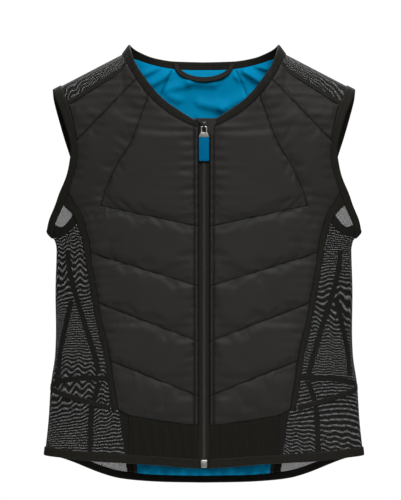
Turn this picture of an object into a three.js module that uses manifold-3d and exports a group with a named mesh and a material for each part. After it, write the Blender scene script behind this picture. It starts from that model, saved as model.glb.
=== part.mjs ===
// A sleeveless insulated vest with a front zip, hanging open as a body fills it: quilted front
// and back, see-through mesh at the shoulders and sides, a stretch band above the hem, and
// elastic binding round the neck, the armholes and the hem.
// Millimetres, +Z up. The front faces -Y and the wearer's left is +X. The origin lies midway
// between the two places where the neck opening meets the shoulder line.

import * as THREE from 'three';
import { mergeVertices } from 'three/addons/utils/BufferGeometryUtils.js';
import Module from 'manifold-3d';

// Oval sections of the hanging form, from the hem up: half width, how far the underarm fold
// flares beyond it, and half depths.
const SECTIONS = [
  { z: -720, width: 262, flare: 0, front: 50, back: 48 },
  { z: -659, width: 256, flare: 0, front: 53, back: 50 },
  { z: -598, width: 249.5, flare: 0, front: 56, back: 53 },
  { z: -545, width: 245, flare: 0, front: 59, back: 55 },
  { z: -496, width: 239.5, flare: 0, front: 61, back: 57 },
  { z: -394, width: 238, flare: 0, front: 63, back: 59 },
  { z: -330, width: 237, flare: 0, front: 64, back: 60 },
  { z: -316, width: 237.5, flare: 2, front: 64, back: 60 },
  { z: -300, width: 240, flare: 11.5, front: 64, back: 60 },
  { z: -285, width: 243, flare: 10, front: 64, back: 60 },
  { z: -250, width: 250, flare: 1, front: 64, back: 60 },
  { z: -165, width: 265, flare: 0, front: 63, back: 59 },
  { z: -74, width: 280, flare: 0, front: 60, back: 56 },
  { z: 60, width: 292, flare: 0, front: 58, back: 54 },
];
const FLARE_POWER = 13; // keeps the flare close to the fold

// Shoulder line: it falls straight to the tip, and rises steeply beside the neck.
const RIDGE = { bendX: 130, bendZ: -15, shoulderFall: 0.52, neckRise: 15 / 11 };
const SHOULDER_ROUND = 100; // height over which front and back curve together at the top

const GAP = 0.8; // between pieces that meet edge to edge
const MESH_WALL = 1.2;
const JERSEY_WALL = 1.8;
const BINDING_WALL = 3;
const TAPE_WALL = 2;
const TAPE_WIDTH = 9;
const LINING_WALL = 1;
const LAYER_GAP = 0.4; // between layers that lie on each other

// Quilting: the wall is thin along stitching and swells away from it.
const QUILT = { stitched: 1.3, outRise: 6, inRise: 2.5, reach: 30 };

// Binding sections along an opening: the free edge, and the seam to the cloth beside it.
const NECK_FRONT = [
  { edgeX: 8, edgeZ: -123, seamX: 8, seamZ: -134 },
  { edgeX: 20, edgeZ: -119, seamX: 26, seamZ: -127.5 },
  { edgeX: 46, edgeZ: -102.5, seamX: 52, seamZ: -113.5 },
  { edgeX: 62, edgeZ: -91, seamX: 70, seamZ: -99.5 },
  { edgeX: 79, edgeZ: -74, seamX: 88, seamZ: -82 },
  { edgeX: 97, edgeZ: -50.5, seamX: 107.5, seamZ: -56 },
  { edgeX: 108.5, edgeZ: -32, seamX: 120, seamZ: -35 },
  { edgeX: 115, edgeZ: -15, seamX: 127, seamZ: -21 },
];
const NECK_RIDGE = { edgeX: 119, seamX: 130 };
const NECK_BACK = [
  { edgeX: 113, edgeZ: -5.5, seamX: 120, seamZ: -19 },
  { edgeX: 103, edgeZ: -11, seamX: 104, seamZ: -24 },
  { edgeX: 84, edgeZ: -18.5, seamX: 85, seamZ: -30 },
  { edgeX: 57, edgeZ: -23.8, seamX: 57.5, seamZ: -36 },
  { edgeX: 32, edgeZ: -25.3, seamX: 32, seamZ: -38.5 },
  { edgeX: 0, edgeZ: -26, seamX: 0, seamZ: -39 },
];
const ARM_RIDGE = { edgeX: 243, seamX: 230 };
const ARM_FRONT = [
  { edgeX: 237, edgeZ: -90, seamX: 223.5, seamZ: -86 },
  { edgeX: 227, edgeZ: -114, seamX: 213, seamZ: -109 },
  { edgeX: 214, edgeZ: -160, seamX: 203, seamZ: -158 },
  { edgeX: 215.5, edgeZ: -190, seamX: 204, seamZ: -190 },
  { edgeX: 222, edgeZ: -216, seamX: 211, seamZ: -218 },
  { edgeX: 233, edgeZ: -242, seamX: 222, seamZ: -246 },
  { edgeX: 247, edgeZ: -278, seamX: 238.5, seamZ: -284 },
  { edgeX: 251, edgeZ: -294, seamX: 245, seamZ: -303 },
];
const ARM_FOLD = { edgeZ: -298, seamZ: -309.5 };
const ARM_BACK = [
  { edgeX: 243, edgeZ: -297, seamX: 239, seamZ: -308.5 },
  { edgeX: 228, edgeZ: -291, seamX: 224.5, seamZ: -303 },
  { edgeX: 213, edgeZ: -275, seamX: 206, seamZ: -286 },
  { edgeX: 205.5, edgeZ: -254, seamX: 195, seamZ: -260.5 },
  { edgeX: 205, edgeZ: -228, seamX: 193.5, seamZ: -230 },
  { edgeX: 213, edgeZ: -190, seamX: 201.5, seamZ: -187 },
  { edgeX: 226, edgeZ: -148, seamX: 214.5, seamZ: -143.5 },
  { edgeX: 238, edgeZ: -105, seamX: 225.5, seamZ: -100 },
  { edgeX: 242, edgeZ: -87, seamX: 229.5, seamZ: -81 },
];
const HEM_FRONT = [
  { edgeX: 8, edgeZ: -678.5, seamX: 8, seamZ: -664.5 },
  { edgeX: 40, edgeZ: -676.5, seamX: 40, seamZ: -662.5 },
  { edgeX: 75, edgeZ: -673.5, seamX: 75, seamZ: -660 },
  { edgeX: 121, edgeZ: -670.5, seamX: 121, seamZ: -657.5 },
  { edgeX: 173, edgeZ: -668, seamX: 172, seamZ: -655 },
  { edgeX: 205, edgeZ: -665, seamX: 203, seamZ: -652.5 },
  { edgeX: 237, edgeZ: -661.5, seamX: 235, seamZ: -649 },
];
const HEM_FOLD = { edgeZ: -659, seamZ: -646.5 };
const HEM_BACK = [
  { edgeX: 246, edgeZ: -660.5, seamX: 244, seamZ: -648.5 },
  { edgeX: 228, edgeZ: -665, seamX: 226.5, seamZ: -653.5 },
  { edgeX: 204, edgeZ: -674, seamX: 203, seamZ: -663 },
  { edgeX: 162, edgeZ: -691, seamX: 161, seamZ: -680 },
  { edgeX: 130, edgeZ: -699, seamX: 130, seamZ: -688 },
  { edgeX: 73, edgeZ: -704, seamX: 73, seamZ: -693 },
  { edgeX: 0, edgeZ: -705.5, seamX: 0, seamZ: -694.5 },
];

// Tapes that join quilted panel and mesh, from the armhole down: seam is the quilted side.
const FRONT_TAPE = [
  { seamX: 217, seamZ: -238, edgeX: 225.5, edgeZ: -257.5 },
  { seamX: 197.5, seamZ: -269, edgeX: 207.5, edgeZ: -277 },
  { seamX: 187.5, seamZ: -301, edgeX: 198, edgeZ: -304 },
  { seamX: 181, seamZ: -334, edgeX: 191.5, edgeZ: -335.5 },
  { seamX: 176, seamZ: -368, edgeX: 186, edgeZ: -369.5 },
  { seamX: 168.5, seamZ: -412, edgeX: 178.5, edgeZ: -413.5 },
  { seamX: 158.5, seamZ: -462, edgeX: 168.5, edgeZ: -464 },
  { seamX: 149, seamZ: -507.5, edgeX: 158.5, edgeZ: -509 },
  { seamX: 137, seamZ: -585, edgeX: 147, edgeZ: -586.5 },
];
const BACK_TAPE = [
  { seamX: 190.8, seamZ: -248, edgeX: 196, edgeZ: -272 },
  { seamX: 182, seamZ: -290, edgeX: 192, edgeZ: -295 },
  { seamX: 169, seamZ: -340, edgeX: 179.5, edgeZ: -343.5 },
  { seamX: 154, seamZ: -420, edgeX: 164.5, edgeZ: -422 },
  { seamX: 139, seamZ: -510, edgeX: 149.5, edgeZ: -511.5 },
  { seamX: 126, seamZ: -600, edgeX: 136, edgeZ: -601 },
  { seamX: 114, seamZ: -689, edgeX: 124, edgeZ: -687.5 },
];

// Centre line of the tape between side mesh and hem mesh, from the front round to the back.
const WAIST_FRONT = [
  { x: 149.6, z: -581.5 },
  { x: 170, z: -577 },
  { x: 205, z: -567 },
  { x: 235, z: -557 },
];
const WAIST_FOLD_Z = -549;
const WAIST_BACK = [
  { x: 230, z: -540.5 },
  { x: 200, z: -536.5 },
  { x: 165, z: -536 },
  { x: 147.8, z: -536 },
];

// Centre lines of the seam tapes on the back of the side mesh.
const SIDE_SEAM = [
  { x: 219, z: -331 },
  { x: 215, z: -366 },
  { x: 205, z: -406 },
  { x: 182, z: -480 },
  { x: 169, z: -529.5 },
];
const GUSSET_SEAM = [
  { x: 212.5, z: -411 },
  { x: 220, z: -443 },
  { x: 229.5, z: -490 },
  { x: 234, z: -533 },
];
const BAND_SEAM = [
  { x: 168, z: -542.5 },
  { x: 181, z: -590 },
  { x: 184, z: -667 },
];

const ZIP_EDGE = 8; // half width of the slot between the two fronts
const PLACKET = 15.6; // half width out to the stitching beside the zip
const BAND_END = 120; // half width of the stretch band at the front
const SHOULDER_DROP = { neck: 29, arm: 39 }; // quilted cloth ends this far under the shoulder line
const SHOULDER_STEPS = [0, 0.12, 0.4, 0.7, 1]; // shares of the shoulder's length, from the neck

// Front quilting: the chest line turns up from its corner to the neck, the arm line runs from
// the neck to the armhole, and chevrons cross below them.
const CHEST_CORNER = { x: 164, z: -259 };
const CHEST_ZIP_Z = -292.5;
const CHEST_RISE = [
  { x: 164, z: -259 },
  { x: 155, z: -229 },
  { x: 137, z: -190.5 },
  { x: 115, z: -154.5 },
];
const ARM_LINE_Z = -155;
const UNDERARM_Z = -237; // where the quilted front leaves the armhole
// Steps up each padded strip, as shares of its height.
const CHANNEL_ROWS = [0, 0.16, 0.5, 0.84, 1];
const CURVED_ROWS = [0, 0.12, 0.3, 0.46, 0.62, 0.76, 0.89, 1]; // where the border bends most
const FRONT_CHEVRONS = [
  { zipZ: -388, sideZ: -334, rows: CURVED_ROWS },
  { zipZ: -476, sideZ: -414, rows: CHANNEL_ROWS },
  { zipZ: -563, sideZ: -506, rows: CHANNEL_ROWS },
];
const PANEL_FOOT = [
  { x: 8, z: -609.5 },
  { x: 40, z: -606 },
  { x: 112, z: -595 },
  { x: 137, z: -585 },
];
const BACK_CHEVRONS = [
  { midZ: -180, sideZ: -128, rows: CHANNEL_ROWS },
  { midZ: -292, sideZ: -238, rows: CHANNEL_ROWS },
  { midZ: -388, sideZ: -338, rows: CURVED_ROWS },
  { midZ: -476, sideZ: -430, rows: CHANNEL_ROWS },
  { midZ: -563, sideZ: -522, rows: CHANNEL_ROWS },
];

const ZIP = { topZ: -122, footZ: -678, innerX: 0.4, wall: 1 };
const CHAIN = { topZ: -138, half: 2.6, wall: 1.6 };
const SLIDER = { topZ: -125, footZ: -142 };
// The slider's half width, by a share of its height.
const SLIDER_SIDE = [
  { share: 0, half: 4 },
  { share: 0.45, half: 4.4 },
  { share: 0.82, half: 5.4 },
  { share: 1, half: 3.4 },
];
const SLIDER_PLATE = { wall: 1.8, bevel: 0.4, clearance: 0.7 };
const BRIDGE = { width: 3, out: 4.2, bar: 1.5, round: 1, sunk: 0.2, play: 0.6 };
const PULL = { barZ: -133.5, eye: 8.2, bar: 1.5, armHalf: 4.8, neck: 11, foot: 17.6, height: 8, wall: 1.8 };
const TAB = { width: 16, length: 38, wall: 2.4, corner: 2, bevel: 0.5, gap: 0.3 };
const STOP = { width: 9.6, topZ: -664.5, footZ: -676.5, wall: 2.6, bevel: 0.5 };
const GARAGE_WALL = 1;
const GARAGE_ROWS = [
  { z: -119.5, leftX: -16, rightX: 19.5 },
  { z: -127, leftX: -7.4, rightX: 19.5 },
  { z: -132, leftX: 0.7, rightX: 17 },
  { z: -139, leftX: 4.2, rightX: 15.2 },
  { z: -147, leftX: 9, rightX: 15.2 },
];
const LOOP = { halfWidth: 49, topZ: -29, drop: 29, tape: 8, wall: 1.2, standOff: 13 };

const CLOTH = { color: 0x2e2c2c, roughness: 0.75 };
const MESH_CLOTH = { color: 0x232222, roughness: 0.85 };
const JERSEY = { color: 0x201f1d, roughness: 0.9 };
const ELASTIC = { color: 0x1b1a18, roughness: 0.8 };
const LINING = { color: 0x0079a5, roughness: 0.6 };
const COIL = { color: 0x1c1c1c, roughness: 0.5 };
const LACQUER = { color: 0x191919, roughness: 0.45 };
const NICKEL = { color: 0xa5a39e, roughness: 0.3, metalness: 1 };
const RUBBER = { color: 0x046085, roughness: 0.55 };

const FRONT = -1;
const BACK = 1;
const SOLVE_STEPS = 8; // enough to invert the flare exactly
const WELD = 0.002; // points closer than this are one
const COURSE_SECTIONS = 80;
const YOKE_STEPS = 5; // rows of the yoke on each side of the shoulder line
// Steps along each strip.
const STEPS = { neckFront: 18, neckBack: 12, arm: 40, hem: 30, tape: 20, waist: 18, zip: 16, loop: 16 };

const radians = THREE.MathUtils.degToRad;
const degrees = THREE.MathUtils.radToDeg;
const { lerp, clamp } = THREE.MathUtils;
const even = (steps) => Array.from({ length: steps + 1 }, (_, i) => i / steps);

// One column of a table as a smooth function of another, without overshoot between rows.
function follow(table, lead, column) {
  const rows = [...table].sort((a, b) => a[lead] - b[lead]);
  const gain = (row, i, key) => row[key] - rows[i][key];
  const rise = rows.slice(1).map((row, i) => gain(row, i, column) / gain(row, i, lead));
  const slope = rows.map((_, i) => {
    if (i === 0) return rise[0];
    if (i === rows.length - 1) return rise[i - 1];
    return rise[i - 1] * rise[i] <= 0 ? 0 : (2 * rise[i - 1] * rise[i]) / (rise[i - 1] + rise[i]);
  });
  return (at) => {
    const place = clamp(at, rows[0][lead], rows.at(-1)[lead]);
    const i = Math.max(0, rows.findIndex((row) => row[lead] >= place) - 1);
    const span = rows[i + 1][lead] - rows[i][lead];
    const t = (place - rows[i][lead]) / span;
    const start = rows[i][column] * (1 + 2 * t) * (1 - t) ** 2 + slope[i] * span * t * (1 - t) ** 2;
    const end = rows[i + 1][column] * t * t * (3 - 2 * t) + slope[i + 1] * span * t * t * (t - 1);
    return start + end;
  };
}

const bodyWidth = follow(SECTIONS, 'z', 'width');
const flare = follow(SECTIONS, 'z', 'flare');
const halfWidth = (z) => bodyWidth(z) + flare(z);
const frontDepth = follow(SECTIONS, 'z', 'front');
const backDepth = follow(SECTIONS, 'z', 'back');

function ridge(x) {
  const out = Math.abs(x) - RIDGE.bendX;
  return RIDGE.bendZ - out * (out > 0 ? RIDGE.shoulderFall : RIDGE.neckRise);
}

// A share of the half width, from -1 to 1, as an x, and an x as that share.
const toX = (share, z) => share * bodyWidth(z) + flare(z) * share ** FLARE_POWER;

function toShare(x, z) {
  let share = x / halfWidth(z);
  for (let i = 0; i < SOLVE_STEPS; i++) {
    const slope = bodyWidth(z) + FLARE_POWER * flare(z) * share ** (FLARE_POWER - 1);
    share -= (toX(share, z) - x) / slope;
  }
  return share;
}

// Square of the depth at x and z, as a share of the section's half depth.
function fullness(x, z) {
  const drop = Math.min(1, (ridge(x) - z) / SHOULDER_ROUND);
  return (1 - toShare(x, z) ** 2) * (1 - (1 - drop) ** 2);
}

function onForm(x, z, face) {
  const width = halfWidth(z);
  const depth = face === FRONT ? frontDepth(z) : backDepth(z);
  const across = clamp(x, -width, width);
  return new THREE.Vector3(across, face * depth * Math.sqrt(Math.max(0, fullness(across, z))), z);
}

// The form is the zero level of this function, and its slope points out of the vest.
function level(x, y, z) {
  const depth = y < 0 ? frontDepth(z) : backDepth(z);
  return (y / depth) ** 2 - fullness(x, z);
}

function outward(point) {
  const step = 0.5;
  const { x, y, z } = point;
  return new THREE.Vector3(
    level(x + step, y, z) - level(x - step, y, z),
    level(x, y + step, z) - level(x, y - step, z),
    level(x, y, z + step) - level(x, y, z - step),
  ).normalize();
}

// A place on the form as its turn round the body, in degrees from the middle of the front, and
// its height.
function chart(x, z, face) {
  const turn = degrees(Math.asin(clamp(toShare(x, z), -1, 1)));
  return new THREE.Vector2(face === FRONT ? turn : 180 - turn, z);
}

function fromChart({ x: turn, y: z }) {
  return onForm(toX(Math.sin(radians(turn)), z), z, turn <= 90 ? FRONT : BACK);
}

// A sheet on the form, collected from grids of points that may share their borders.
class Sheet {
  constructor(side = 1) {
    this.side = side;
    this.points = [];
    this.triangles = [];
    this.lookup = new Map();
  }

  index(point) {
    const place = new THREE.Vector3(point.x * this.side, point.y, point.z);
    const key = place.toArray().map((value) => Math.round(value / WELD)).join();
    if (!this.lookup.has(key)) {
      this.lookup.set(key, this.points.length);
      this.points.push(place);
    }
    return this.lookup.get(key);
  }

  addTriangle(a, b, c) {
    if (a === b || b === c || c === a) return;
    const corners = [a, b, c].map((i) => this.points[i]);
    const middle = new THREE.Triangle(...corners).getMidpoint(new THREE.Vector3());
    const facing = new THREE.Triangle(...corners).getNormal(new THREE.Vector3());
    this.triangles.push(facing.dot(outward(middle)) > 0 ? [a, b, c] : [a, c, b]);
  }

  addGrid(grid) {
    const rows = grid.map((row) => row.map((point) => this.index(point)));
    for (let j = 1; j < rows.length; j++) {
      for (let i = 1; i < rows[j].length; i++) {
        this.addTriangle(rows[j - 1][i - 1], rows[j - 1][i], rows[j][i]);
        this.addTriangle(rows[j - 1][i - 1], rows[j][i], rows[j][i - 1]);
      }
    }
    return this;
  }

  // A closed wall: the sheet moved out and in along the form's normal, with its rim filled.
  wall(out, inn) {
    const far = typeof out === 'number' ? () => out : out;
    const near = typeof inn === 'number' ? () => inn : inn;
    const count = this.points.length;
    const normals = this.points.map(outward);
    const outer = this.points.map((p, i) => p.clone().addScaledVector(normals[i], far(p)));
    const inner = this.points.map((p, i) => p.clone().addScaledVector(normals[i], -near(p)));
    const faces = [];
    const borders = new Map();
    for (const [a, b, c] of this.triangles) {
      faces.push([a, b, c], [a + count, c + count, b + count]);
      for (const [from, to] of [[a, b], [b, c], [c, a]]) {
        if (!borders.delete(`${to},${from}`)) borders.set(`${from},${to}`, [from, to]);
      }
    }
    for (const [from, to] of borders.values()) {
      faces.push([to, from, from + count], [to, from + count, to + count]);
    }
    return solid([...outer, ...inner], faces);
  }
}

function solid(points, faces) {
  const geometry = new THREE.BufferGeometry();
  const places = points.flatMap((point) => point.toArray());
  geometry.setAttribute('position', new THREE.Float32BufferAttribute(places, 3));
  geometry.setIndex(faces.flat());
  return geometry;
}

// Points of a smooth line through table rows, at the given shares of its length.
function along(rows, shares) {
  const curve = new THREE.SplineCurve(rows.map(({ x, z }) => new THREE.Vector2(x, z)));
  return shares.map((share) => {
    const point = curve.getPointAt(share);
    return { x: point.x, z: point.y };
  });
}

// How far along a line each of its points lies, from 0 to 1.
function progress(line) {
  const runs = [0];
  for (let i = 1; i < line.length; i++) {
    runs.push(runs[i - 1] + Math.hypot(line[i].x - line[i - 1].x, line[i].z - line[i - 1].z));
  }
  return runs.map((run) => run / runs.at(-1));
}

// Fills four bordering lines that share their corners, row by row from south to north.
function coons(south, north, west, east) {
  const across = progress(south);
  const up = progress(west);
  const mix = (key, i, j) => {
    const [s, t] = [across[i], up[j]];
    const ruled = lerp(south[i][key], north[i][key], t) + lerp(west[j][key], east[j][key], s);
    const low = lerp(south[0][key], south.at(-1)[key], s);
    const high = lerp(north[0][key], north.at(-1)[key], s);
    return ruled - lerp(low, high, t);
  };
  return west.map((_, j) => south.map((__, i) => ({ x: mix('x', i, j), z: mix('z', i, j) })));
}

const lift = (grid, face) => grid.map((row) => row.map(({ x, z }) => onForm(x, z, face)));
const mirrored = (grid) => grid.map((row) => row.map((p) => new THREE.Vector3(-p.x, p.y, p.z)));

function segmentDistance(x, z, from, to) {
  const dx = to.x - from.x;
  const dz = to.z - from.z;
  const share = clamp(((x - from.x) * dx + (z - from.z) * dz) / (dx * dx + dz * dz), 0, 1);
  return Math.hypot(x - from.x - share * dx, z - from.z - share * dz);
}

// How full the padding is at a place, from 0 on a stitched line to 1 at the quilt's reach.
function padding(lines, x, z) {
  let nearest = QUILT.reach;
  for (const line of lines) {
    for (let i = 1; i < line.length; i++) {
      nearest = Math.min(nearest, segmentDistance(x, z, line[i - 1], line[i]));
    }
  }
  return Math.sqrt(1 - (1 - nearest / QUILT.reach) ** 2);
}

const quiltOut = (fill) => QUILT.stitched + QUILT.outRise * fill;
const quiltIn = (fill) => QUILT.stitched + QUILT.inRise * fill;

const rowSeam = ({ seamX, seamZ }) => ({ x: seamX, z: seamZ });
const rowEdge = ({ edgeX, edgeZ }) => ({ x: edgeX, z: edgeZ });

// The line that runs a gap away from a binding's or tape's border, on the cloth beside it.
function beside(table, border) {
  const away = border === 'seam' ? 1 : -1;
  return table.map((row) => {
    const across = new THREE.Vector2(row.seamX - row.edgeX, row.seamZ - row.edgeZ).setLength(GAP * away);
    const from = border === 'seam' ? rowSeam(row) : rowEdge(row);
    return { x: from.x + across.x, z: from.z + across.y };
  });
}

// The section of a binding that lies on the shoulder line.
const onRidge = ({ edgeX, seamX }) => ({ edgeX, edgeZ: ridge(edgeX), seamX, seamZ: ridge(seamX) });
const neckFront = [...NECK_FRONT, onRidge(NECK_RIDGE)];
const neckBack = [onRidge(NECK_RIDGE), ...NECK_BACK];
const armFront = [onRidge(ARM_RIDGE), ...ARM_FRONT];
const armBack = [...ARM_BACK, onRidge(ARM_RIDGE)];

// The smooth course of a binding or tape, charted from one end to the other.
function course(front, fold, back) {
  const charted = (border) => [
    ...front.map((row) => chart(row[`${border}X`], row[`${border}Z`], FRONT)),
    ...(fold ? [new THREE.Vector2(90, fold[`${border}Z`])] : []),
    ...back.map((row) => chart(row[`${border}X`], row[`${border}Z`], BACK)),
  ];
  const edge = new THREE.SplineCurve(charted('edge'));
  const seam = new THREE.SplineCurve(charted('seam'));
  return (share) => [edge.getPoint(share), seam.getPoint(share)];
}

const neckFrontCourse = course(neckFront, null, []);
const neckBackCourse = course([], null, neckBack);
const armCourse = course(armFront, ARM_FOLD, armBack);
const hemCourse = course(HEM_FRONT, HEM_FOLD, HEM_BACK);
const frontTapeCourse = course(FRONT_TAPE, null, []);
const backTapeCourse = course([], null, BACK_TAPE);

// Close sections of a course on one face, as table rows to draw the neighbour's border by.
function sections(line, face) {
  const onFace = ([edge]) => (edge.x <= 90 ? FRONT : BACK) === face;
  const charted = even(COURSE_SECTIONS).map(line).filter(onFace);
  return charted.map((pair) => {
    const [edge, seam] = pair.map(fromChart);
    return { edgeX: edge.x, edgeZ: edge.z, seamX: seam.x, seamZ: seam.z };
  });
}

const neckSeamFront = beside(NECK_FRONT, 'seam');
const armSeamFront = follow(beside(sections(armCourse, FRONT), 'seam'), 'z', 'x');
const armSeamBack = follow(beside(sections(armCourse, BACK), 'seam'), 'z', 'x');
const panelSide = follow(beside(sections(frontTapeCourse, FRONT), 'seam'), 'z', 'x');
const meshFront = follow(beside(sections(frontTapeCourse, FRONT), 'edge'), 'z', 'x');
const backSide = follow(beside(sections(backTapeCourse, BACK), 'seam'), 'z', 'x');
const meshBack = follow(beside(sections(backTapeCourse, BACK), 'edge'), 'z', 'x');
const panelFoot = follow(PANEL_FOOT, 'x', 'z');
const hemSeamFront = follow(HEM_FRONT, 'seamX', 'seamZ');
const hemSeamBack = follow(HEM_BACK, 'seamX', 'seamZ');

// Over the shoulder, places are given by how far they lie under the shoulder line. The x where
// the bindings of the neck and the armhole end the cloth, by that drop.
function yokeEnds(face) {
  const neckTable = face === FRONT ? neckFront.slice(5) : neckBack.slice(0, 4);
  const armTable = face === FRONT ? armFront.slice(0, 4) : armBack.slice(-4);
  const byDrop = (table) => {
    const rows = beside(table, 'seam').map(({ x, z }) => ({ x, drop: Math.max(0, ridge(x) - z) }));
    return follow(rows, 'drop', 'x');
  };
  return { neck: byDrop(neckTable), arm: byDrop(armTable) };
}

const shoulderEnds = { [FRONT]: yokeEnds(FRONT), [BACK]: yokeEnds(BACK) };
const seamDrop = (share) => lerp(SHOULDER_DROP.neck, SHOULDER_DROP.arm, share);

function underRidge(share, drop, face) {
  const { neck, arm } = shoulderEnds[face];
  const x = lerp(neck(drop), arm(drop), share);
  return { x, z: ridge(x) - drop };
}

// The line where the quilted cloth ends below the shoulder.
const shoulderSeam = (face) => SHOULDER_STEPS.map((share) => underRidge(share, seamDrop(share), face));

// A run of a border given as x by height, between two heights.
const upright = (border, fromZ, toZ, shares) =>
  shares.map((share) => {
    const z = lerp(fromZ, toZ, share);
    return { x: border(z), z };
  });

// The front's outline corners and stitched lines, on the wearer's left.
const CHEST_COLUMNS = [0, 0.05, 0.22, 0.46, 0.74, 1];
const SIDE_COLUMNS = [0.4, 0.78, 1];
const CHANNEL_COLUMNS = [0, 0.045, 0.17, 0.36, 0.56, 0.72, 0.83, 0.94, 1];
const SHOULDER_ROWS = [0, 0.25, 0.7, 1];

function frontLayout() {
  const chestTop = neckSeamFront[4];
  const armLineTop = neckSeamFront[5];
  const shoulderLine = shoulderSeam(FRONT);
  const neckEnd = shoulderLine[0];
  const armEnd = shoulderLine.at(-1);
  const armLineEnd = { x: armSeamFront(ARM_LINE_Z), z: ARM_LINE_Z };
  const underarm = { x: panelSide(UNDERARM_Z), z: UNDERARM_Z };
  const zip = (z) => ({ x: ZIP_EDGE, z });

  const chestLine = along([zip(CHEST_ZIP_Z), CHEST_CORNER], CHEST_COLUMNS);
  const chestRise = along([...CHEST_RISE, chestTop], even(8));
  const armLine = along([armLineEnd, armLineTop], even(4));
  const armhole = upright(armSeamFront, underarm.z, ARM_LINE_Z, even(4));
  const corner = along([CHEST_CORNER, underarm], [0, ...SIDE_COLUMNS]);
  armhole[0] = underarm;

  const neck = along(neckSeamFront.slice(0, 5), CHEST_COLUMNS);
  const chest = coons(chestLine, neck, along([zip(CHEST_ZIP_Z), neck[0]], even(8)), chestRise);
  const neckSide = along([chestTop, armLineTop], [0, ...SIDE_COLUMNS]);
  const flank = coons(corner, neckSide, chestRise, [...armhole, ...armLine.slice(1)]);
  const neckTop = along([armLineTop, neckEnd], SHOULDER_ROWS);
  const armTop = upright(armSeamFront, ARM_LINE_Z, armEnd.z, SHOULDER_ROWS);
  armTop[armTop.length - 1] = armEnd;
  const shoulder = coons([...armLine].reverse(), shoulderLine, neckTop, armTop);

  const patches = [chest, flank, shoulder];
  let above = [...chestLine, ...corner.slice(1)];
  const chevrons = [];
  for (const { zipZ, sideZ, rows } of FRONT_CHEVRONS) {
    const line = along([zip(zipZ), { x: panelSide(sideZ), z: sideZ }], CHANNEL_COLUMNS);
    patches.push(channel(above, line, panelSide, rows));
    chevrons.push(line);
    above = line;
  }
  const footEnd = beside(FRONT_TAPE, 'seam').at(-1);
  const foot = along([...PANEL_FOOT.slice(0, 3), footEnd], CHANNEL_COLUMNS);
  patches.push(channel(above, foot, panelSide));

  const placket = [{ x: PLACKET, z: ZIP.topZ }, { x: PLACKET, z: ZIP.footZ }];
  const tapeSide = upright(panelSide, underarm.z, footEnd.z, even(STEPS.tape));
  const border = [neck, neckSide, neckTop, shoulderLine, armTop, armhole, tapeSide, foot];
  return { patches, lines: [chestLine, chestRise, armLine, placket, ...chevrons, ...border] };
}

// The padded strip between two stitched lines, whose outer side follows a border.
function channel(above, below, border, rows = CHANNEL_ROWS) {
  const west = along([below[0], above[0]], rows);
  const east = upright(border, below.at(-1).z, above.at(-1).z, rows);
  east[0] = below.at(-1);
  east[rows.length - 1] = above.at(-1);
  return coons(below, above, west, east);
}

const frontPlan = frontLayout();

function frontFill({ x, z }) {
  const out = Math.abs(x);
  return out < PLACKET ? 0 : padding(frontPlan.lines, out, z);
}

function frontPanel(side) {
  const sheet = new Sheet(side);
  for (const patch of frontPlan.patches) sheet.addGrid(lift(patch, FRONT));
  return sheet.wall((p) => quiltOut(frontFill(p)), (p) => quiltIn(frontFill(p)));
}

// The back's outline and stitched chevrons, from the middle to the wearer's left.
const BACK_COLUMNS = [0, 0.18, 0.36, 0.54, 0.7, 0.83, 0.94, 1];

function backLayout() {
  const neckSeam = beside(NECK_BACK.slice(1), 'seam').map(({ x, z }) => ({ x, z: z - GAP / 2 }));
  const shoulderLine = shoulderSeam(BACK);
  const border = (z) => (z > BACK_TAPE[0].seamZ ? armSeamBack(z) : backSide(z));
  const middle = (z) => ({ x: 0, z });

  const neckLine = along([...neckSeam.reverse(), shoulderLine[0]], even(3));
  let above = [...neckLine, ...shoulderLine.slice(1)];
  const outline = [above];
  const patches = [];
  const lines = [];
  for (const { midZ, sideZ, rows } of BACK_CHEVRONS) {
    const line = along([middle(midZ), { x: border(sideZ), z: sideZ }], BACK_COLUMNS);
    patches.push(channel(above, line, border, rows));
    lines.push(line);
    above = line;
  }
  const footX = beside(BACK_TAPE, 'seam').at(-1).x;
  const foot = BACK_COLUMNS.map((share) => ({ x: share * footX, z: hemSeamBack(share * footX) + GAP }));
  patches.push(channel(above, foot, border));
  outline.push(foot, upright(border, outline[0].at(-1).z, foot.at(-1).z, even(STEPS.tape)));
  return { patches, lines: [...lines, ...outline] };
}

const backPlan = backLayout();
const backFill = ({ x, z }) => padding(backPlan.lines, Math.abs(x), z);

function backSheet() {
  const sheet = new Sheet();
  for (const patch of backPlan.patches) {
    const grid = lift(patch, BACK);
    sheet.addGrid(grid);
    sheet.addGrid(mirrored(grid));
  }
  return sheet;
}

const backPanel = () => backSheet().wall((p) => quiltOut(backFill(p)), (p) => quiltIn(backFill(p)));

// The lining follows the inside of the quilted back.
function backLining() {
  const start = (p) => quiltIn(backFill(p)) + LAYER_GAP;
  return backSheet().wall((p) => -start(p), (p) => start(p) + LINING_WALL);
}

// Rows across a binding, from its free edge to its seam.
const bindingRows = (line, steps, ease) => even(steps).map((share) => line(ease(share)).map(fromChart));

const steady = (share) => share;
const easeEnds = (share) => (1 - Math.cos(Math.PI * share)) / 2; // closer steps over the shoulder line
const easeEnd = (share) => Math.sin((Math.PI / 2) * share);
const easeStart = (share) => 1 - Math.cos((Math.PI / 2) * share);

function neckBinding() {
  const front = bindingRows(neckFrontCourse, STEPS.neckFront, easeEnd);
  const back = bindingRows(neckBackCourse, STEPS.neckBack, easeStart);
  const sheet = new Sheet();
  for (const grid of [front, back, mirrored(front), mirrored(back)]) sheet.addGrid(grid);
  return sheet.wall(BINDING_WALL / 2, BINDING_WALL / 2);
}

function armBinding(side) {
  const rows = bindingRows(armCourse, STEPS.arm, easeEnds);
  return new Sheet(side).addGrid(rows).wall(BINDING_WALL / 2, BINDING_WALL / 2);
}

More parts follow.
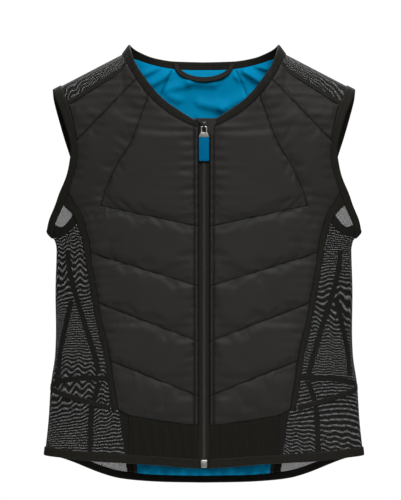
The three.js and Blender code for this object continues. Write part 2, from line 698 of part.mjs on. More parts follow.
function hemBinding() {
  const rows = bindingRows(hemCourse, STEPS.hem, steady);
  return new Sheet().addGrid(rows).addGrid(mirrored(rows)).wall(BINDING_WALL / 2, BINDING_WALL / 2);
}

function edgeTape(line, side) {
  const rows = bindingRows(line, STEPS.tape, steady);
  return new Sheet(side).addGrid(rows).wall(TAPE_WALL / 2, TAPE_WALL / 2);
}

function shoulderTape(face, side) {
  const rows = SHOULDER_STEPS.map((share) => {
    const low = seamDrop(share) - GAP;
    return [low + GAP - TAPE_WIDTH, low].map((drop) => underRidge(share, drop, face));
  });
  return new Sheet(side).addGrid(lift(rows, face)).wall(TAPE_WALL / 2, TAPE_WALL / 2);
}

function yokeMesh(side) {
  const sheet = new Sheet(side);
  for (const face of [FRONT, BACK]) {
    const rows = SHOULDER_STEPS.map((share) => {
      const low = seamDrop(share) - GAP - TAPE_WIDTH;
      return even(YOKE_STEPS).map((part) => underRidge(share, low * part * part, face));
    });
    sheet.addGrid(lift(rows, face));
  }
  return sheet.wall(MESH_WALL / 2, MESH_WALL / 2);
}

const chartRows = (front, foldZ, back, shift) => [
  ...front.map(({ x, z }) => chart(x, z + shift, FRONT)),
  new THREE.Vector2(90, foldZ + shift),
  ...back.map(({ x, z }) => chart(x, z + shift, BACK)),
];

const asRows = (points) => points.map(({ x, y }) => ({ x, z: y }));
const smoothRun = (points, steps) => along(asRows(points), even(steps));

const MESH_ROUND = 14; // steps round the side, from the front to the back
const SIDE_ROWS = [0, 0.14, 0.28, 0.42, 0.55, 0.67, 0.77, 0.85, 0.91, 0.95, 0.98, 1];
const HEM_ROWS = even(3);
const BAND_STEPS = 6;
const WAIST_HALF = TAPE_WIDTH / 2;

function sideRun(border, face, fromZ, toZ, shares) {
  return upright(border, fromZ, toZ, shares).map(({ x, z }) => ({ x: chart(x, z, face).x, z }));
}

function meshWall(grid, side) {
  const places = grid.map((row) => row.map(({ x, z }) => fromChart(new THREE.Vector2(x, z))));
  return new Sheet(side).addGrid(places).wall(MESH_WALL / 2, MESH_WALL / 2);
}

function sideMesh(side) {
  const frontTop = beside(FRONT_TAPE, 'edge')[0];
  const backTop = beside(BACK_TAPE, 'edge')[0];
  const armSeam = [
    chart(frontTop.x, frontTop.z, FRONT),
    ...beside(ARM_FRONT.slice(-2), 'seam').map(({ x, z }) => chart(x, z, FRONT)),
    new THREE.Vector2(90, ARM_FOLD.seamZ - GAP),
    ...beside(ARM_BACK.slice(0, 3), 'seam').map(({ x, z }) => chart(x, z, BACK)),
    chart(backTop.x, backTop.z, BACK),
  ];
  const north = smoothRun(armSeam, MESH_ROUND);
  const waist = chartRows(WAIST_FRONT, WAIST_FOLD_Z, WAIST_BACK, WAIST_HALF + GAP);
  const south = smoothRun(waist, MESH_ROUND);
  south[0].x = chart(meshFront(south[0].z), south[0].z, FRONT).x;
  south.at(-1).x = chart(meshBack(south.at(-1).z), south.at(-1).z, BACK).x;
  const west = sideRun(meshFront, FRONT, south[0].z, north[0].z, SIDE_ROWS);
  const east = sideRun(meshBack, BACK, south.at(-1).z, north.at(-1).z, SIDE_ROWS);
  return meshWall(coons(south, north, west, east), side);
}

function hemMesh(side) {
  const inner = BAND_END + GAP / 2;
  const below = WAIST_HALF + 2 * GAP;
  const start = [inner, FRONT_TAPE.at(-1).seamX].map((x) => ({ x, z: panelFoot(x) - 2 * GAP }));
  const tapeFoot = { x: FRONT_TAPE.at(-1).edgeX, z: FRONT_TAPE.at(-1).edgeZ - 4 * GAP };
  const lower = ({ x, z }) => ({ x, z: z - below });
  const waist = [...start, tapeFoot, ...WAIST_FRONT.slice(1).map(lower)];
  const top = chartRows(waist, WAIST_FOLD_Z - below, WAIST_BACK.map(lower), 0);
  const north = smoothRun(top, MESH_ROUND);
  const backEnd = beside(BACK_TAPE, 'edge').at(-1);
  const hemTop = (x, seam) => ({ x, z: seam(x) + GAP });
  const frontX = [inner, ...HEM_FRONT.slice(4).map((row) => row.seamX)];
  const backX = [...HEM_BACK.slice(0, 4).map((row) => row.seamX), backEnd.x];
  const hemRows = chartRows(
    frontX.map((x) => hemTop(x, hemSeamFront)),
    HEM_FOLD.seamZ + GAP,
    backX.map((x) => hemTop(x, hemSeamBack)),
    0,
  );
  const south = smoothRun(hemRows, MESH_ROUND);
  north.at(-1).x = chart(meshBack(north.at(-1).z), north.at(-1).z, BACK).x;
  const west = sideRun(() => inner, FRONT, south[0].z, north[0].z, HEM_ROWS);
  const east = sideRun(meshBack, BACK, south.at(-1).z, north.at(-1).z, HEM_ROWS);
  east[0] = south.at(-1);
  return meshWall(coons(south, north, west, east), side);
}

function waistTape(side) {
  const lines = [-WAIST_HALF, WAIST_HALF].map((shift) =>
    new THREE.SplineCurve(chartRows(WAIST_FRONT, WAIST_FOLD_Z, WAIST_BACK, shift)));
  const rows = even(STEPS.waist).map((share) => lines.map((line) => fromChart(line.getPointAt(share))));
  return new Sheet(side).addGrid(rows).wall(TAPE_WALL / 2, TAPE_WALL / 2);
}

// A tape laid on the outside of the mesh along a line of the back.
function laidTape(table, side, steps) {
  const line = along(table, even(steps)).map(({ x, z }) => onForm(x, z, BACK));
  const rows = line.map((place, i) => {
    const ahead = line[Math.min(i + 1, steps)].clone().sub(line[Math.max(i - 1, 0)]);
    const across = outward(place).cross(ahead).setLength(TAPE_WIDTH / 2);
    return [place.clone().sub(across), place.clone().add(across)];
  });
  const start = MESH_WALL / 2 + LAYER_GAP;
  return new Sheet(side).addGrid(rows).wall(start + TAPE_WALL / 2, -start);
}

function hemBand(side) {
  const foot = even(BAND_STEPS).map((share) => {
    const x = lerp(ZIP_EDGE, BAND_END - GAP / 2, share);
    return { x, z: hemSeamFront(x) + GAP };
  });
  const top = foot.map(({ x }) => ({ x, z: panelFoot(x) - GAP }));
  const west = along([foot[0], top[0]], HEM_ROWS);
  const east = along([foot.at(-1), top.at(-1)], HEM_ROWS);
  const grid = lift(coons(foot, top, west, east), FRONT);
  return new Sheet(side).addGrid(grid).wall(JERSEY_WALL / 2, JERSEY_WALL / 2);
}

// The zip follows the middle of the front.
const zipStrip = (inner, outer, topZ, footZ) =>
  even(STEPS.zip).map((share) => {
    const z = lerp(topZ, footZ, share);
    return [onForm(inner, z, FRONT), onForm(outer, z, FRONT)];
  });

function zipTape(side) {
  const rows = zipStrip(ZIP.innerX, ZIP_EDGE - GAP, ZIP.topZ, ZIP.footZ);
  return new Sheet(side).addGrid(rows).wall(ZIP.wall / 2, ZIP.wall / 2);
}

const chainStart = ZIP.wall / 2 + LAYER_GAP;

function zipChain() {
  const rows = zipStrip(-CHAIN.half, CHAIN.half, CHAIN.topZ, STOP.topZ + LAYER_GAP);
  return new Sheet().addGrid(rows).wall(chainStart + CHAIN.wall, -chainStart);
}

// Outlines are drawn as x and height, or as distance out of the front and height.
function outline(points) {
  return new THREE.Shape(points.map(([across, up]) => new THREE.Vector2(across, up)));
}

// A plate parallel to the front, from its inner face outwards.
function frontPlate(shape, wall, innerY, bevel = 0) {
  const geometry = new THREE.ExtrudeGeometry(shape, {
    depth: wall - 2 * bevel, bevelEnabled: bevel > 0, bevelSize: bevel, bevelThickness: bevel,
    bevelOffset: -bevel, bevelSegments: 1, curveSegments: 4,
  });
  geometry.rotateX(Math.PI / 2);
  geometry.translate(0, innerY - bevel, 0);
  return geometry;
}

const zipFace = onForm(0, PULL.barZ, FRONT).y; // the tape's middle plane beside the slider
const sliderInner = zipFace - chainStart - CHAIN.wall - SLIDER_PLATE.clearance;
const sliderFace = sliderInner - SLIDER_PLATE.wall;
const barY = sliderFace - (BRIDGE.out - BRIDGE.bar) / 2;

// The slider: a waisted plate over the chain, with a bridge that the pull hangs from.
function zipSlider() {
  const { topZ, footZ } = SLIDER;
  const sides = SLIDER_SIDE.map(({ share, half }) => [half, lerp(footZ, topZ, share)]);
  const plate = outline([...sides, ...sides.map(([x, z]) => [-x, z]).reverse()]);
  const { width, out, bar, round, sunk, play } = BRIDGE;
  const legFoot = PULL.barZ - PULL.bar / 2 - play;
  const legTop = topZ - round;
  const arch = outline([
    [-sunk, legFoot - bar], [out - round, legFoot - bar], [out, legFoot - bar + round],
    [out, legTop - round], [out - round, legTop], [-sunk, legTop], [-sunk, legTop - bar],
    [out - bar, legTop - bar], [out - bar, legFoot], [-sunk, legFoot],
  ]);
  const bow = new THREE.ExtrudeGeometry(arch, { depth: width, bevelEnabled: false });
  bow.rotateX(Math.PI / 2);
  bow.rotateZ(-Math.PI / 2);
  bow.translate(width / 2, sliderFace, 0);
  return join(frontPlate(plate, SLIDER_PLATE.wall, sliderInner, SLIDER_PLATE.bevel), bow);
}

// The metal end of the pull: a bar under the bridge, two arms and a flared plate.
function zipPull() {
  const { barZ, eye, bar, armHalf, neck, foot, height, wall } = PULL;
  const plateTop = barZ - eye;
  const half = bar / 2;
  const sides = [
    [armHalf, barZ + half], [armHalf, plateTop], [neck / 2, plateTop], [foot / 2, plateTop - height],
  ];
  const shape = outline([...sides, ...sides.map(([x, z]) => [-x, z]).reverse()]);
  const inside = armHalf - bar;
  const holeFoot = plateTop - half;
  shape.holes.push(outline([
    [-inside, barZ - half], [-inside, holeFoot], [inside, holeFoot], [inside, barZ - half],
  ]));
  return frontPlate(shape, wall, barY + wall / 2);
}

function pullTab() {
  const topZ = PULL.barZ - PULL.eye - PULL.height - TAB.gap;
  const half = TAB.width / 2;
  const { corner } = TAB;
  const footZ = topZ - TAB.length;
  const shape = new THREE.Shape();
  shape.moveTo(-half, topZ);
  shape.lineTo(-half, footZ + corner);
  shape.absarc(-half + corner, footZ + corner, corner, Math.PI, 1.5 * Math.PI);
  shape.absarc(half - corner, footZ + corner, corner, 1.5 * Math.PI, 2 * Math.PI);
  shape.lineTo(half, topZ);
  return frontPlate(shape, TAB.wall, barY + TAB.wall / 2, TAB.bevel);
}

function zipStop() {
  const half = STOP.width / 2;
  const inner = onForm(0, STOP.topZ, FRONT).y - chainStart;
  const { topZ, footZ } = STOP;
  const shape = outline([[-half, footZ], [half, footZ], [half, topZ], [-half, topZ]]);
  return frontPlate(shape, STOP.wall, inner, STOP.bevel);
}

// The flap that covers the top of the zip, laid over the ends of the neck binding.
function zipGarage() {
  const start = BINDING_WALL / 2 + LAYER_GAP;
  const rows = GARAGE_ROWS.map(({ z, leftX, rightX }) => (
    [leftX, rightX].map((x) => onForm(x, z, FRONT))
  ));
  return new Sheet().addGrid(rows).wall(start + GARAGE_WALL, -start);
}

// The loop to hang the vest by: a flat tape in a half oval inside the back of the neck.
function hangerLoop() {
  const seated = BINDING_WALL / 2 + LAYER_GAP;
  const away = ({ z }) => lerp(seated, LOOP.standOff, (LOOP.topZ - z) / LOOP.drop);
  const rows = even(STEPS.loop).map((share) => {
    const angle = Math.PI * share;
    return [0, LOOP.tape].map((inset) => {
      const x = -(LOOP.halfWidth - inset) * Math.cos(angle);
      return { x, z: LOOP.topZ - (LOOP.drop - inset) * Math.sin(angle) };
    });
  });
  return new Sheet().addGrid(lift(rows, BACK)).wall((p) => -away(p), (p) => away(p) + LOOP.wall);
}

const wasm = await Module();
wasm.setup();

function toManifold(geometry) {
  const bare = geometry.clone();
  bare.deleteAttribute('normal');
  bare.deleteAttribute('uv');
  const merged = mergeVertices(bare, 1e-4);
  return new wasm.Manifold(new wasm.Mesh({
    numProp: 3,
    vertProperties: new Float32Array(merged.attributes.position.array),
    triVerts: new Uint32Array(merged.index.array),
  }));
}

// Fuses two closed meshes that reach into each other.
function join(first, second) {
  const mesh = toManifold(first).add(toManifold(second)).getMesh();
  const geometry = new THREE.BufferGeometry();
  geometry.setAttribute('position', new THREE.Float32BufferAttribute(mesh.vertProperties, 3));
  geometry.setIndex(Array.from(mesh.triVerts));
  return geometry;
}

const vest = new THREE.Group();
const pull = new THREE.Group();
vest.add(pull);

function piece(group, name, geometry, finish) {
  const mesh = new THREE.Mesh(geometry, new THREE.MeshStandardMaterial(finish));
  mesh.name = name;
  group.add(mesh);
}

for (const [name, side] of [['left', 1], ['right', -1]]) {
  piece(vest, `front_panel_${name}`, frontPanel(side), CLOTH);
  piece(vest, `yoke_mesh_${name}`, yokeMesh(side), MESH_CLOTH);
  piece(vest, `side_mesh_${name}`, sideMesh(side), MESH_CLOTH);
  piece(vest, `hem_mesh_${name}`, hemMesh(side), MESH_CLOTH);
  piece(vest, `hem_band_${name}`, hemBand(side), JERSEY);
  piece(vest, `arm_binding_${name}`, armBinding(side), ELASTIC);
  piece(vest, `front_edge_tape_${name}`, edgeTape(frontTapeCourse, side), ELASTIC);
  piece(vest, `back_edge_tape_${name}`, edgeTape(backTapeCourse, side), ELASTIC);
  piece(vest, `shoulder_front_tape_${name}`, shoulderTape(FRONT, side), ELASTIC);
  piece(vest, `shoulder_back_tape_${name}`, shoulderTape(BACK, side), ELASTIC);
  piece(vest, `waist_tape_${name}`, waistTape(side), ELASTIC);
  piece(vest, `side_seam_tape_${name}`, laidTape(SIDE_SEAM, side, 8), ELASTIC);
  piece(vest, `gusset_seam_tape_${name}`, laidTape(GUSSET_SEAM, side, 6), ELASTIC);
  piece(vest, `band_seam_tape_${name}`, laidTape(BAND_SEAM, side, 6), ELASTIC);
  piece(vest, `zip_tape_${name}`, zipTape(side), COIL);
}
piece(vest, 'back_panel', backPanel(), CLOTH);
piece(vest, 'back_lining', backLining(), LINING);
piece(vest, 'neck_binding', neckBinding(), ELASTIC);
piece(vest, 'hem_binding', hemBinding(), ELASTIC);
piece(vest, 'hanger_loop', hangerLoop(), ELASTIC);
piece(vest, 'zip_chain', zipChain(), COIL);
piece(vest, 'zip_garage', zipGarage(), CLOTH);
piece(vest, 'zip_stop', zipStop(), NICKEL);
piece(vest, 'zip_slider', zipSlider(), LACQUER);
piece(pull, 'zip_pull', zipPull(), NICKEL);
piece(pull, 'zip_pull_tab', pullTab(), RUBBER);

export default vest;
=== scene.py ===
import math

import bpy
import numpy as np
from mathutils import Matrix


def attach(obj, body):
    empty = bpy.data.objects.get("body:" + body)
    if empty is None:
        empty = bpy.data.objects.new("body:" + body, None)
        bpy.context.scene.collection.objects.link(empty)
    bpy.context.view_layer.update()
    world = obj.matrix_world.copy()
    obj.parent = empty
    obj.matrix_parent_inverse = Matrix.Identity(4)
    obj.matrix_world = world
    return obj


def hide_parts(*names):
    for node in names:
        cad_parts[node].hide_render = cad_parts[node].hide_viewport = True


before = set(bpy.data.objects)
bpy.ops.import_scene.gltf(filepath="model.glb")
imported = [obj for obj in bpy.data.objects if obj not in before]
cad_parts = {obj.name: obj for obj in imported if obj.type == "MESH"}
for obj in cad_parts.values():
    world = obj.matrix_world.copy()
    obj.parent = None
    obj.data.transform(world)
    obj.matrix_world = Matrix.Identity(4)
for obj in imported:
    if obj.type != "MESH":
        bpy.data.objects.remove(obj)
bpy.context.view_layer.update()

# Quilted back: two layers of charcoal nylon with thin padding between them, cut to the hanging form
# of the vest and sewn through along chevrons, so that it is thin at each seam and full between them.
# Tables and sizes are in millimetres, and each mesh is turned to metres as it is made.
MM = 0.001
FRONT = -1
BACK = 1
SIDES = {"left": 1, "right": -1}


def table(columns, *rows):
    """A short table as one array for each named column."""
    return dict(zip(columns.split(), np.array(rows, float).T))


def follow(rows, lead, column):
    """One column of a table as a smooth function of another, without overshoot between rows."""
    order = np.argsort(rows[lead])
    x = rows[lead][order]
    y = rows[column][order]
    rise = np.diff(y) / np.diff(x)
    both = rise[:-1] * rise[1:]
    middle = np.where(both > 0, 2 * both / np.where(both > 0, rise[:-1] + rise[1:], 1), 0)
    slope = np.concatenate([rise[:1], middle, rise[-1:]])

    def at(place):
        place = np.clip(place, x[0], x[-1])
        i = np.clip(np.searchsorted(x, place) - 1, 0, len(x) - 2)
        span = x[i + 1] - x[i]
        t = (place - x[i]) / span
        start = (y[i] * (1 + 2 * t) + slope[i] * span * t) * (1 - t) ** 2
        end = (y[i + 1] * (3 - 2 * t) + slope[i + 1] * span * (t - 1)) * t ** 2
        return start + end

    return at


# Oval sections of the form: half width, flare at the underarm fold, and half depths.
SECTIONS = table(
    "z width flare front back",
    (-720, 262, 0, 50, 48), (-659, 256, 0, 53, 50), (-598, 249.5, 0, 56, 53), (-545, 245, 0, 59, 55),
    (-496, 239.5, 0, 61, 57), (-394, 238, 0, 63, 59), (-330, 237, 0, 64, 60), (-316, 237.5, 2, 64, 60),
    (-300, 240, 11.5, 64, 60), (-285, 243, 10, 64, 60), (-250, 250, 1, 64, 60), (-165, 265, 0, 63, 59),
    (-74, 280, 0, 60, 56), (60, 292, 0, 58, 54),
)
FLARE_POWER = 13
SHOULDER_ROUND = 100
RIDGE = {"bend_x": 130, "bend_z": -15, "shoulder_fall": 0.52, "neck_rise": 15 / 11}
body_width, flare, front_depth, back_depth = (
    follow(SECTIONS, "z", column) for column in ("width", "flare", "front", "back")
)


def ridge(x):
    """Height of the shoulder line."""
    out = np.abs(x) - RIDGE["bend_x"]
    return RIDGE["bend_z"] - out * np.where(out > 0, RIDGE["shoulder_fall"], RIDGE["neck_rise"])


def to_x(share, z):
    """A share of the half width, from -1 to 1, as an x."""
    return share * body_width(z) + flare(z) * share ** FLARE_POWER


def to_share(x, z, rounds=8):
    width = body_width(z)
    extra = flare(z)
    share = x / (width + extra)
    for _ in range(rounds):
        off = share * width + extra * share ** FLARE_POWER - x
        share = share - off / (width + FLARE_POWER * extra * share ** (FLARE_POWER - 1))
    return share


def fullness(x, z):
    """Square of the depth at x and z, as a share of the section's half depth."""
    drop = np.minimum(1, (ridge(x) - z) / SHOULDER_ROUND)
    return (1 - to_share(x, z) ** 2) * (1 - (1 - drop) ** 2)


def on_form(x, z, face):
    limit = body_width(z) + flare(z)
    x = np.clip(x, -limit, limit)
    depth = np.where(np.asarray(face) < 0, front_depth(z), back_depth(z))
    y = face * depth * np.sqrt(np.maximum(0, fullness(x, z)))
    return np.stack(np.broadcast_arrays(x, y, z), axis=-1).astype(float)


def level(x, y, z):
    depth = np.where(y < 0, front_depth(z), back_depth(z))
    return (y / depth) ** 2 - fullness(x, z)


def outward(points, step=0.5):
    """Unit normals of the form, out of the vest."""
    x, y, z = np.moveaxis(points, -1, 0)
    slope = np.stack([
        level(x + step, y, z) - level(x - step, y, z),
        level(x, y + step, z) - level(x, y - step, z),
        level(x, y, z + step) - level(x, y, z - step),
    ], axis=-1)
    return slope / np.linalg.norm(slope, axis=-1, keepdims=True)


def chart(x, z, face):
    """A place on the form as its turn round the body, in degrees from the front middle, and height."""
    turn = np.degrees(np.arcsin(np.clip(to_share(x, z), -1, 1)))
    return np.stack([np.where(np.asarray(face) < 0, turn, 180 - turn), z], axis=-1)


def from_chart(places):
    turn, z = np.moveaxis(places, -1, 0)
    return on_form(to_x(np.sin(np.radians(turn)), z), z, np.where(turn <= 90, FRONT, BACK))


def spline(points):
    """A smooth line through points, by a share of their count."""
    points = np.asarray(points, float)
    last = len(points) - 1

    def at(share):
        place = np.clip(np.asarray(share, float), 0, 1) * last
        i = np.minimum(place.astype(int), last - 1)
        t = (place - i)[:, None]
        before, start = points[np.maximum(i - 1, 0)], points[i]
        end, after = points[i + 1], points[np.minimum(i + 2, last)]
        leave = (end - before) / 2
        reach = (after - start) / 2
        cubic = (2 * start - 2 * end + leave + reach) * t ** 3
        return cubic + (3 * end - 3 * start - 2 * leave - reach) * t ** 2 + leave * t + start

    return at


def graded(steps, start=True, end=True, even=0.3):
    """Shares from 0 to 1, partly even and partly drawn closer together at the chosen ends."""
    share = np.linspace(0, 1, steps + 1)
    close = (1 - np.cos(np.pi * share)) / 2
    if not start:
        close = np.sin(np.pi * share / 2)
    if not end:
        close = 1 - np.cos(np.pi * share / 2)
    return even * share + (1 - even) * close


def travelled(points, axis=0):
    """Distance from the first point of each line of points."""
    steps = np.linalg.norm(np.diff(points, axis=axis), axis=-1)
    return np.insert(np.cumsum(steps, axis=axis), 0, 0, axis=axis)


def along(values, length, places):
    """Rows of values at places along a length."""
    return np.stack([np.interp(places, length, column) for column in values.T], axis=-1)


def run(points, steps):
    """Points along a line, at even steps or at given shares of its length."""
    points = np.asarray(points, float)
    length = travelled(points)
    shares = np.linspace(0, 1, steps + 1) if isinstance(steps, int) else steps
    return along(points, length, length[-1] * shares)


def smooth_run(points, steps):
    return run(spline(points)(np.linspace(0, 1, 400)), steps)


def course(front=None, fold=None, back=None):
    """The charted lines of a binding's or tape's free edge and seam, by a share of its rows."""
    lines = {}
    for border in ("edge", "seam"):
        faces = ((front, FRONT), (back, BACK))
        parts = [chart(rows[border + "_x"], rows[border + "_z"], face) for rows, face in faces if rows]
        if fold:
            parts.insert(1, [(90, fold[border + "_z"])])
        lines[border] = spline(np.concatenate(parts))
    return lines


BORDER = "edge_x edge_z seam_x seam_z"


def with_ridge(rows, edge_x, seam_x, first):
    """A binding's rows with the one that lies on the shoulder line."""
    top = (edge_x, ridge(edge_x), seam_x, ridge(seam_x))
    return table(BORDER, *([top, *rows] if first else [*rows, top]))


NECK_RIDGE = {"edge_x": 119, "seam_x": 130}
NECK_BACK = with_ridge([
    (113, -5.5, 120, -19), (103, -11, 104, -24), (84, -18.5, 85, -30), (57, -23.8, 57.5, -36),
    (32, -25.3, 32, -38.5), (0, -26, 0, -39),
], **NECK_RIDGE, first=True)
ARM_RIDGE = {"edge_x": 243, "seam_x": 230}
ARM_FRONT = with_ridge([
    (237, -90, 223.5, -86), (227, -114, 213, -109), (214, -160, 203, -158), (215.5, -190, 204, -190),
    (222, -216, 211, -218), (233, -242, 222, -246), (247, -278, 238.5, -284), (251, -294, 245, -303),
], **ARM_RIDGE, first=True)
ARM_FOLD = {"edge_z": -298, "seam_z": -309.5}
ARM_BACK = with_ridge([
    (243, -289, 239, -306.5), (228, -292, 224.5, -303.5), (213, -275, 206, -286),
    (205.5, -254, 195, -260.5), (205, -228, 193.5, -230), (213, -190, 201.5, -187),
    (226, -148, 214.5, -143.5), (238, -105, 225.5, -100), (242, -87, 229.5, -81),
], **ARM_RIDGE, first=False)
ARM_LAST = len(ARM_FRONT["edge_x"]) + len(ARM_BACK["edge_x"])
HEM_FOLD = {"edge_z": -659, "seam_z": -646.5}
HEM_BACK = table(
    BORDER,
    (246, -660.5, 244, -648.5), (228, -665, 226.5, -653.5), (204, -674, 203, -663), (162, -691, 161, -680),
    (130, -699, 130, -688), (73, -704, 73, -693), (0, -705.5, 0, -694.5),
)
BACK_TAPE = table(
    "seam_x seam_z edge_x edge_z",
    (190.8, -248, 196, -272), (182, -290, 192, -295), (169, -340, 179.5, -343.5), (154, -420, 164.5, -422),
    (139, -510, 149.5, -511.5), (126, -600, 136, -601), (114, -689, 124, -687.5),
)
neck_back_course = course(back=NECK_BACK)
arm_course = course(ARM_FRONT, ARM_FOLD, ARM_BACK)
back_tape_course = course(back=BACK_TAPE)


def seam_x_by_z(lines, face):
    """The x of a seam on one face, by height."""
    places = lines["seam"](np.linspace(0, 1, 400))
    places = places[(places[:, 0] <= 90) == (face < 0)]
    points = from_chart(places)
    order = np.argsort(points[:, 2])
    return lambda z: np.interp(z, points[order, 2], points[order, 0])


arm_seam_back = seam_x_by_z(arm_course, BACK)
back_side = seam_x_by_z(back_tape_course, BACK)
hem_seam_back = follow(HEM_BACK, "seam_x", "seam_z")

# The quilted cloth ends this far under the shoulder line, beside the neck and beside the arm.
SHOULDER_DROP = {"neck": 29, "arm": 39}


def seam_x_by_drop(lines, start, end):
    """The x of a seam near the shoulder, by its drop below the shoulder line."""
    points = from_chart(lines["seam"](np.linspace(start, end, 300)))
    drop = np.maximum(0, ridge(points[:, 0]) - points[:, 2])
    order = np.argsort(drop)
    return lambda at: np.interp(at, drop[order], points[order, 0])


def under_ridge(ends, share, drop):
    x = ends["neck"](drop) + (ends["arm"](drop) - ends["neck"](drop)) * share
    return np.stack([x, ridge(x) - drop], axis=-1)


def seam_drop(share):
    return SHOULDER_DROP["neck"] + (SHOULDER_DROP["arm"] - SHOULDER_DROP["neck"]) * share


shoulder_back_ends = {
    "neck": seam_x_by_drop(neck_back_course, 0, 0.45),
    "arm": seam_x_by_drop(arm_course, 16 / ARM_LAST, 1),
}


def coons(south, north, west, east):
    """Fills four bordering lines that share their corners."""
    def progress(line):
        steps = np.linalg.norm(np.diff(line, axis=0), axis=1)
        return np.concatenate([[0], np.cumsum(steps)]) / steps.sum()

    s = progress(south)[None, :, None]
    t = progress(west)[:, None, None]
    ruled = south[None] * (1 - t) + north[None] * t + west[:, None] * (1 - s) + east[:, None] * s
    low = south[0] * (1 - s) + south[-1] * s
    high = north[0] * (1 - s) + north[-1] * s
    return ruled - low * (1 - t) - high * t


def upright(border, from_z, to_z, shares):
    z = from_z + (to_z - from_z) * shares
    return np.stack([border(z), z], axis=-1)


def channel(above, below, border, steps):
    """The padded strip between two stitched lines, whose outer side follows a border."""
    west = run([below[0], above[0]], graded(steps))
    east = upright(border, below[-1][1], above[-1][1], graded(steps))
    east[0], east[-1] = below[-1], above[-1]
    return coons(below, above, west, east)


def quads(index):
    """Four-sided faces between neighbouring points of a grid."""
    corners = [index[:-1, :-1], index[:-1, 1:], index[1:, 1:], index[1:, :-1]]
    return np.stack(corners, axis=-1).reshape(-1, 4)


def same_points(points, reach):
    """Points that lie together, as one: those to keep, and each point's place among them."""
    keys = np.round(points / reach).astype(int)
    _, first, place = np.unique(keys, axis=0, return_index=True, return_inverse=True)
    return first, place.ravel()


def weld(grids):
    """Grids of places that share borders, as one list of places and its four-sided faces."""
    places = np.concatenate([grid.reshape(-1, 2) for grid in grids])
    first, place = same_points(places, 0.02)
    starts = np.cumsum([0] + [grid.shape[0] * grid.shape[1] for grid in grids])
    indices = [place[a:b].reshape(grid.shape[:2]) for grid, a, b in zip(grids, starts, starts[1:])]
    return places[first], np.concatenate([quads(index) for index in indices])


def seam_distance(places, lines):
    """How far each place lies from the nearest stitched line."""
    nearest = np.full(len(places), np.inf)
    for line in lines:
        for a, b in zip(line[:-1], line[1:]):
            share = np.clip(((places - a) @ (b - a)) / ((b - a) @ (b - a)), 0, 1)
            away = places - a - share[:, None] * (b - a)
            nearest = np.minimum(nearest, np.hypot(away[:, 0], away[:, 1]))
    return nearest


def face_out(points, faces):
    """Turns faces so that they look out of the vest."""
    a, b, c, d = (points[faces[:, i]] for i in range(4))
    looks = np.cross(c - a, d - b)
    wrong = (looks * outward((a + b + c + d) / 4)).sum(axis=1) < 0
    return np.where(wrong[:, None], faces[:, ::-1], faces)


def closed(outer, inner, faces):
    """Two layers with the same faces, joined round their rim: all their points and faces."""
    count = len(outer)
    edges = np.concatenate([np.stack([faces[:, i], faces[:, (i + 1) % 4]], axis=-1) for i in range(4)])
    _, place, uses = np.unique(np.sort(edges, axis=1), axis=0, return_inverse=True, return_counts=True)
    a, b = edges[uses[place.ravel()] == 1].T
    sides = np.stack([b, a, a + count, b + count], axis=-1)
    return np.concatenate([outer, inner]), np.concatenate([faces, faces[:, ::-1] + count, sides])


def piece(name, points, faces, material, slot, nodes=(), uv=None, body="vest", painted_seam_shade=None):
    """A mesh in metres that rides on a body and stands for the nodes it replaces."""
    mesh = bpy.data.meshes.new(name)
    mesh.from_pydata((points * MM).tolist(), [], faces.tolist() if hasattr(faces, "tolist") else faces)
    mesh.polygons.foreach_set("use_smooth", np.ones(len(mesh.polygons), bool))
    if uv is not None:
        corner = np.zeros(len(mesh.loops), np.int32)
        mesh.loops.foreach_get("vertex_index", corner)
        layer = mesh.uv_layers.new(name="cloth")
        layer.data.foreach_set("uv", (np.asarray(uv)[corner] * MM).astype(np.float32).ravel())
    # Painted shade: the 'padding' attribute holds how far each point lies from a darkened seam line, 0
    # darkest and 1 clear. The cloth materials mix their colour towards a dark shade by it.
    if painted_seam_shade is not None:
        layer = mesh.attributes.new("padding", "FLOAT", "POINT")
        layer.data.foreach_set("value", np.asarray(painted_seam_shade, np.float32))
    mesh.materials.append(material)
    made = bpy.data.objects.new(name, mesh)
    bpy.context.scene.collection.objects.link(made)
    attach(made, body)
    if nodes:
        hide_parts(*nodes)
    return made


# The last QUILT entry is the width, in mm, over which the painted shade at each stitched line fades out.
QUILT = {"stitched": 1.3, "out_rise": 2.6, "in_rise": 2.5, "reach": 14, "held": 0.3, "painted_shade_reach": 1.9}
SWELL = {"frames": 18, "most": 1.2}
SWELL_CLOTH = {
    "quality": 4, "mass": 0.1, "tension_stiffness": 15, "compression_stiffness": 15, "shear_stiffness": 5,
    "bending_stiffness": 0.05, "use_pressure": True, "uniform_pressure_force": 1.0, "shrink_min": -0.02,
    "vertex_group_mass": "stitched",
}
RIPPLE = {"high": 0.5, "apart": 15, "fade": 24, "sway_x": (1.7, 31), "sway_z": (1.3, 57)}


